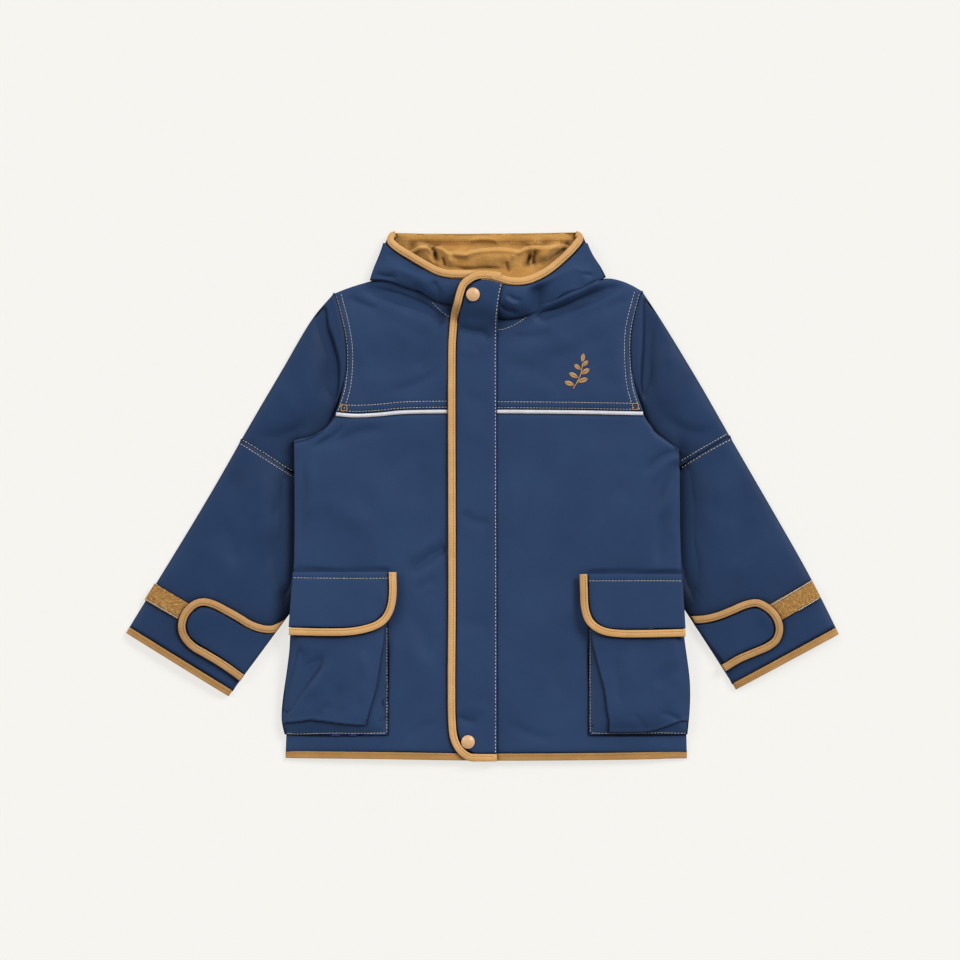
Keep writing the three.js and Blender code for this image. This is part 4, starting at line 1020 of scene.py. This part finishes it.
# hood
hoodRim = {
    "right": [(-87.5, 262.6), (-90.6, 261.6), (-92.4, 258.6), (-92.2, 255), (-89, 251.5), (-84, 247.6),
              (-75.5, 242.3), (-65.5, 236.3), (-55.5, 230.5), (-46.5, 225.8), (-38, 223), (-28, 222.2), (-8, 221.8),
              (6, 221.4), (18, 219.6)],
    "left": [(9, 220), (16, 218.2), (23.5, 215.9), (29, 215), (38, 215), (46, 216.5), (54.5, 220), (63.5, 225),
             (72, 231.5), (82, 240.3), (91, 249.5), (95.6, 255.3), (97, 258.6), (95.6, 261.6), (92.6, 262.7)],
}
hoodCreases = {
    "right": [
        crease([(-106, 231), (-84, 227), (-60, 216), (-44, 207)], 6, 1.5),
        crease([(-100, 246), (-80, 234), (-56, 224)], 4, -0.9),
        crease([(-110, 224), (-100, 221), (-84, 219)], (2.4, 4), -1.6, 1.5),
        crease([(-50, 217), (-45, 208), (-41, 197)], (2.4, 4), -1.7, 1.5),
        crease([(-60, 214), (-55, 204), (-52, 196)], 3.4, 1.0),
        crease([(-68, 214), (-64, 205), (-63, 199)], 3.0, -0.9, 1.6),
    ],
    "left": [
        crease([(112, 224), (88, 221), (66, 212), (44, 202)], 6, 1.3),
        crease([(16, 193), (23, 187), (31, 184.5), (38, 183)], (2, 3), -2.6, 1.4),
        crease([(20, 199), (28, 193), (36, 191)], 2.6, 1.3, 1.6),
        crease([(24, 203), (31, 197.5), (40, 196)], (1.8, 3), -1.5, 1.4),
        crease([(64, 204), (67, 199.5), (67.6, 194)], (1.8, 2.6), -1.5, 1.4),
        crease([(58, 200), (60, 193), (58, 187)], 3.2, 1.0),
        crease([(86, 224), (100, 222.5), (114, 222)], (1.6, 3), -1.2, 1.5),
    ],
}
for side, rim in hoodRim.items():
    rim = smoothLine(rim)
    piece = fineCloth("hood_side_" + side, finishes["hood"], seamDip=0.4)
    lay(piece, hoodCreases[side], soft=((40, 0.6), (18, 0.25)), seed=15)
    co = pointsOf(piece)
    co[:, 1] = np.minimum(co[:, 1], 253.4)  # the top corner stays under the tape
    movePoints(piece, co)
    if side == "left":  # towards the shoulder it runs out softly onto the yoke
        ground = topOf("front_yoke_left_cloth")
        foot = smoothLine([(44, 180.5), (52, 183.5), (67, 191.5), (87, 201.5), (107, 209.5), (123, 219.5)])
        co = pointsOf(piece)
        nearFoot, nearEdge = nearestIn(foot), nearestIn(rim)
        shoulder = rollingMean(np.array([max(ground(x + 0.4, y - 1.6), 8.5) for x, y in foot]), 6)
        for i in np.nonzero((co[:, 2] > 3) & (co[:, 0] > 42))[0]:
            x, y, z = co[i]
            k, away = nearFoot(x, y)
            share = ease((x - 42) / 14) * ease((nearEdge(x, y)[1] - 5) / 9)
            co[i, 2] = z + share * (min(z, shoulder[k] + 0.14 * away) - z)
        movePoints(piece, co)
    tape("hood_binding_" + side + "_tape", "hood_binding_" + side, finishes["binding"], rim, groove=0.42,
         narrow="start" if side == "right" else "end")
    ends = slice(12, -6) if side == "right" else slice(20, -12)
    tapeStitches("hood_binding_stitches_" + side, beside(rim, 1.6)[ends], "hood_binding_" + side + "_tape")
fineCloth("hood_back", finishes["hood"], levels=2, seamDip=0.2)
lining = {
    "creases": [
        crease([(-72, 244), (-63, 250), (-55, 247), (-50, 238), (-43, 228)], (3.5, 6), 3.4),
        crease([(-49.5, 250), (-48, 241), (-45, 233)], (2.6, 3), -5.0),
        crease([(-46, 250), (-38, 243), (-33, 236), (-31, 228)], (4, 3.2), 3.4),
        crease([(-40, 240), (-38, 234), (-37, 229)], 1.4, -3, 1.5),
        crease([(-33, 242), (-24, 244), (-16, 242), (-12, 236)], (3, 4), 2.8),
        crease([(-12, 240), (6, 242), (24, 241), (38, 238)], 8, 2.6),
        crease([(-34, 229.5), (-14, 227.5), (4, 228.5), (22, 227.6)], (1.6, 2.6), -2.4, 1.5),
        crease([(23, 235), (24.5, 230), (25.5, 224)], 1.5, -2.6, 1.5),
        crease([(27, 237), (35, 243), (42, 246)], 3, 1.8),
        crease([(49.5, 244), (45.5, 237), (41, 228)], (3.6, 2.6), -5.6),
        crease([(44, 248), (52, 252), (62, 251)], 3.4, 2.6),
        crease([(50.5, 245), (48.6, 238), (46, 230)], 1.5, 3.0),
        crease([(55, 247), (52, 240), (51.5, 230)], (2.2, 2.8), -4.6),
        crease([(56, 233), (62, 241), (72, 248), (84, 251)], (5.5, 4.5), 4.4),
        crease([(61, 233), (70, 240.5), (82, 248), (88, 250)], 1.3, -3.2, 1.5),
        crease([(-14, 249), (-12, 255), (2, 257), (13, 255), (14, 248.5)], 1.8, 1.6),
    ],
    "roll": [(-80, 243), (-71, 246), (-63, 250), (-56, 251.3), (-51.2, 245), (-47.3, 249), (-41.3, 249.5),
             (-34.4, 244.5), (-26.5, 243.5),
             (-16.6, 242.8), (-14.7, 245), (-2.8, 247), (15, 248.4), (30.8, 247), (36.7, 246), (41.7, 249), (52.5,
                     250), (64.4, 250),
             (80.2, 252), (86, 250)],
    "stitch": [(-86, 255.6), (-40, 255.2), (4, 255), (50, 255.4), (90, 256)],
}
fleece = fineCloth("hood_lining", finishes["fleece"], seamDip=0.4, rounded=1.2)
co = pointsOf(fleece)
upper = upperSide(fleece)
x, y = co[:, 0], co[:, 1]
roll = np.interp(x, *np.array(lining["roll"], float).T)
behind = ease((y - roll) / 1.5) * ease((x + 78) / 8) * ease((90 - x) / 8) * ease((258.5 - y) / 9)
co[:, 2] -= np.where(upper, 5.2 * behind - 2.4 * np.exp(-((y - roll + 2.4) / 2.2) ** 2) * (behind < 0.5), 0)
movePoints(fleece, co)
lay(fleece, lining["creases"], soft=((14, 0.5), (6, 0.25), (2.2, 0.14), (1.2, 0.09)), seed=16, least=4.2)
stitches("hood_lining_stitches", [smoothLine(lining["stitch"])], [fleece], finishes["darkThread"], long=2.4, gap=1.0,
         thick=0.6, sunk=0.2)
print("hood done")

# storm flap
flapEdge = [
    (20.5, 216.7), (12, 219.4), (4, 220.8), (-3, 220.8), (-9, 219.3), (-14.5, 216), (-19.5, 211.5),
    (-22.5, 204), (-25.5, 192.5), (-28.5, 180), (-30.5, 160), (-31, 150), (-31, -103), (-31.5, -195),
    (-31, -225), (-29.5, -240), (-26, -249), (-20.5, -256), (-13, -260.8), (-5, -261.2), (14, -261.2),
]
flapStitch = smoothLine([(18, 212), (16, 203.5), (13.8, 188.5), (12.6, 171.5), (12.4, 60), (12.6, -100), (12.4, -257)])
flap = fineCloth("storm_flap", finishes["shell"], seamDip=0.4)
lay(flap, [
    crease([(-26, 170), (-12, 165), (0, 163.5), (9, 155)], (3, 6), -2.0, 1.5, fade=(0.15, 0.15)),
    crease([(-24, 178), (-8, 173), (10, 172)], 5, 0.9),
    crease([(-26, 150), (-14, 144), (-4, 146)], 5, 0.7),
    crease([(-26, -14), (-8, -24), (12, -28)], (4, 7), -1.0),
    crease([(-24, 62), (-4, 66), (12, 60)], 12, 0.6),
    crease([(-22, 104), (-6, 96), (10, 98)], 7, -0.6),
    crease([(-26, -120), (-8, -128), (10, -126)], 9, -0.6),
    crease([(-28, -218), (-18, -223), (-4, -226)], (3, 5), -1.5, 1.5),
    crease([(-24, -206), (-8, -212), (8, -210)], 6, 0.6),
] + sewn([flapStitch], 0.5), soft=((46, 0.4), (20, 0.16)), seed=17)
stitches("storm_flap_stitches", [flapStitch], [flap], finishes["thread"], long=2.2, gap=1.3, thick=0.8)
path = smoothLine(flapEdge)
tape("storm_flap_binding_tape", "storm_flap_binding", finishes["binding"], path, groove=-0.42, settle=(4.6, 22))
tapeStitches("storm_flap_binding_stitches", beside(path, -1.6)[12:-3], "storm_flap_binding_tape")
print("storm flap done")

# snaps
snapFinish = bpy.data.materials.new("painted_snap_cap")
snapFinish.use_nodes = True
tree = snapFinish.node_tree
shader = tree.nodes["Principled BSDF"]
grain = tree.nodes.new("ShaderNodeTexNoise")
grain.inputs["Scale"].default_value = 500
blend = tree.nodes.new("ShaderNodeMix")
blend.data_type = "RGBA"
blend.inputs["A"].default_value = linear(206, 160, 112)
blend.inputs["B"].default_value = linear(220, 178, 134)
tree.links.new(grain.outputs["Fac"], blend.inputs["Factor"])
tree.links.new(blend.outputs["Result"], shader.inputs["Base Color"])
shader.inputs["Roughness"].default_value = 0.38
shader.inputs["Specular IOR Level"].default_value = 0.5

snapCap = {"radius": 6.8, "height": 2.6, "sunk": 0.2, "sides": 64,
           "profile": [(0, 0.0), (0.93, 0.0), (1.0, 0.12), (1.0, 0.3), (0.97, 0.42), (0.9, 0.52), (0.82, 0.55),
                       (0.76, 0.58), (0.66, 0.76), (0.5, 0.9), (0.3, 0.97), (0, 1.0)]}
for name, x, y in (("snap_top", -10, 201.5), ("snap_bottom", -15, -245.5)):
    base = topOf("storm_flap_cloth")(x, y) - snapCap["sunk"]
    spin = snapCap["sides"]
    points = []
    for r, z in snapCap["profile"]:
        for k in range(spin):
            a = 2 * math.pi * k / spin
            px, py = x + r * snapCap["radius"] * math.cos(a), y + r * snapCap["radius"] * math.sin(a)
            points.append((px, py, base + z * snapCap["height"]))
    mesh = facingOut(meshFrom(points, walls(len(snapCap["profile"]), spin)), merge=1e-7)
    added(name + "_cap", mesh, snapFinish)
print("snaps done")

# A little leaf sprig embroidered on the wearer's left breast, in satin stitch.
sprig = {
    "at": (97, 120), "stem": [(-7, -12), (-2.5, -4.5), (1, 4), (2.4, 13.5)], "thread": 0.72, "pitch": 0.52,
    "leaves": [  # place along the stem, way it points in degrees, length, width
        (0.14, 160, 10.4, 4.8), (0.28, 18, 10.8, 5.0), (0.44, 152, 10.4, 4.8), (0.58, 32, 10.0, 4.8),
        (0.74, 142, 8.6, 4.2), (0.86, 46, 8.0, 4.0), (1.0, 84, 9.0, 4.2)],
}
stem = smoothLine(sprig["stem"], 0.3) + np.array(sprig["at"])
satin = []
for share, degrees, length, width in sprig["leaves"]:
    root = stem[int(share * (len(stem) - 1))]
    along = np.array([math.cos(math.radians(degrees)), math.sin(math.radians(degrees))])
    out = np.array([-along[1], along[0]])
    for k in range(int(length / sprig["pitch"])):
        t = (k + 0.5) * sprig["pitch"] / length
        wide = width / 2 * math.sin(math.pi * t**0.8) ** 0.8
        spine = root + along * (0.6 + t * length)
        for half in (-1, 1):
            satin.append([spine - 0.02 * out * half, spine + out * half * wide + along * wide * 0.7])
yokeTop = [made["front_yoke_left_cloth"]]
stitches("leaf_sprig_embroidery", [], yokeTop, finishes["silk"], satin=satin, thick=sprig["thread"])
stitches("leaf_sprig_stem", [stem, stem + (0.45, -0.1)], yokeTop, finishes["silk"], long=2.2, gap=-0.5, thick=0.7,
         sunk=-0.1)
print("embroidery done")

# what each piece stands for
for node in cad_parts:
    for ending in ("_cloth", "_tape", "_cord", "_cap"):
        if node + ending in made:
            piece = made[node + ending]
            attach(piece, "root")
            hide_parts(node)

for name, piece in made.items():
    if any(word in name for word in ("stitches", "sprig", "bar_tack", "edges")):
        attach(piece, "root")

# the pieces that go with each cloth piece
goesWith = {
    "back": ["hem_binding_cloth", "hem_binding_stitches"],
    "hood_lining": ["hood_lining_stitches"],
    "storm_flap": ["storm_flap_binding_tape", "storm_flap_stitches", "storm_flap_binding_stitches", "snap_top_cap",
                   "snap_bottom_cap"],
}
for side in ("right", "left"):
    goesWith.update({
        f"front_yoke_{side}": [f"reflective_piping_{side}_cord", f"yoke_stitches_{side}", f"bar_tack_{side}"],
        f"sleeve_upper_{side}": [f"elbow_stitches_{side}"],
        f"sleeve_lower_{side}": [f"cuff_binding_{side}_cloth", f"cuff_binding_stitches_{side}",
                                 f"loop_strip_{side}_cloth", f"loop_strip_edges_{side}"],
        f"cuff_tab_{side}": [f"cuff_tab_binding_{side}_tape", f"cuff_tab_stitches_{side}"],
        f"pocket_bag_{side}": [f"pocket_bag_stitches_{side}"],
        f"pocket_flap_{side}": [f"flap_binding_{side}_tape", f"pocket_flap_stitches_{side}",
                                f"flap_binding_stitches_{side}"],
        f"hood_side_{side}": [f"hood_binding_{side}_tape", f"hood_binding_stitches_{side}"],
    })
goesWith["front_yoke_left"] += ["leaf_sprig_embroidery", "leaf_sprig_stem"]
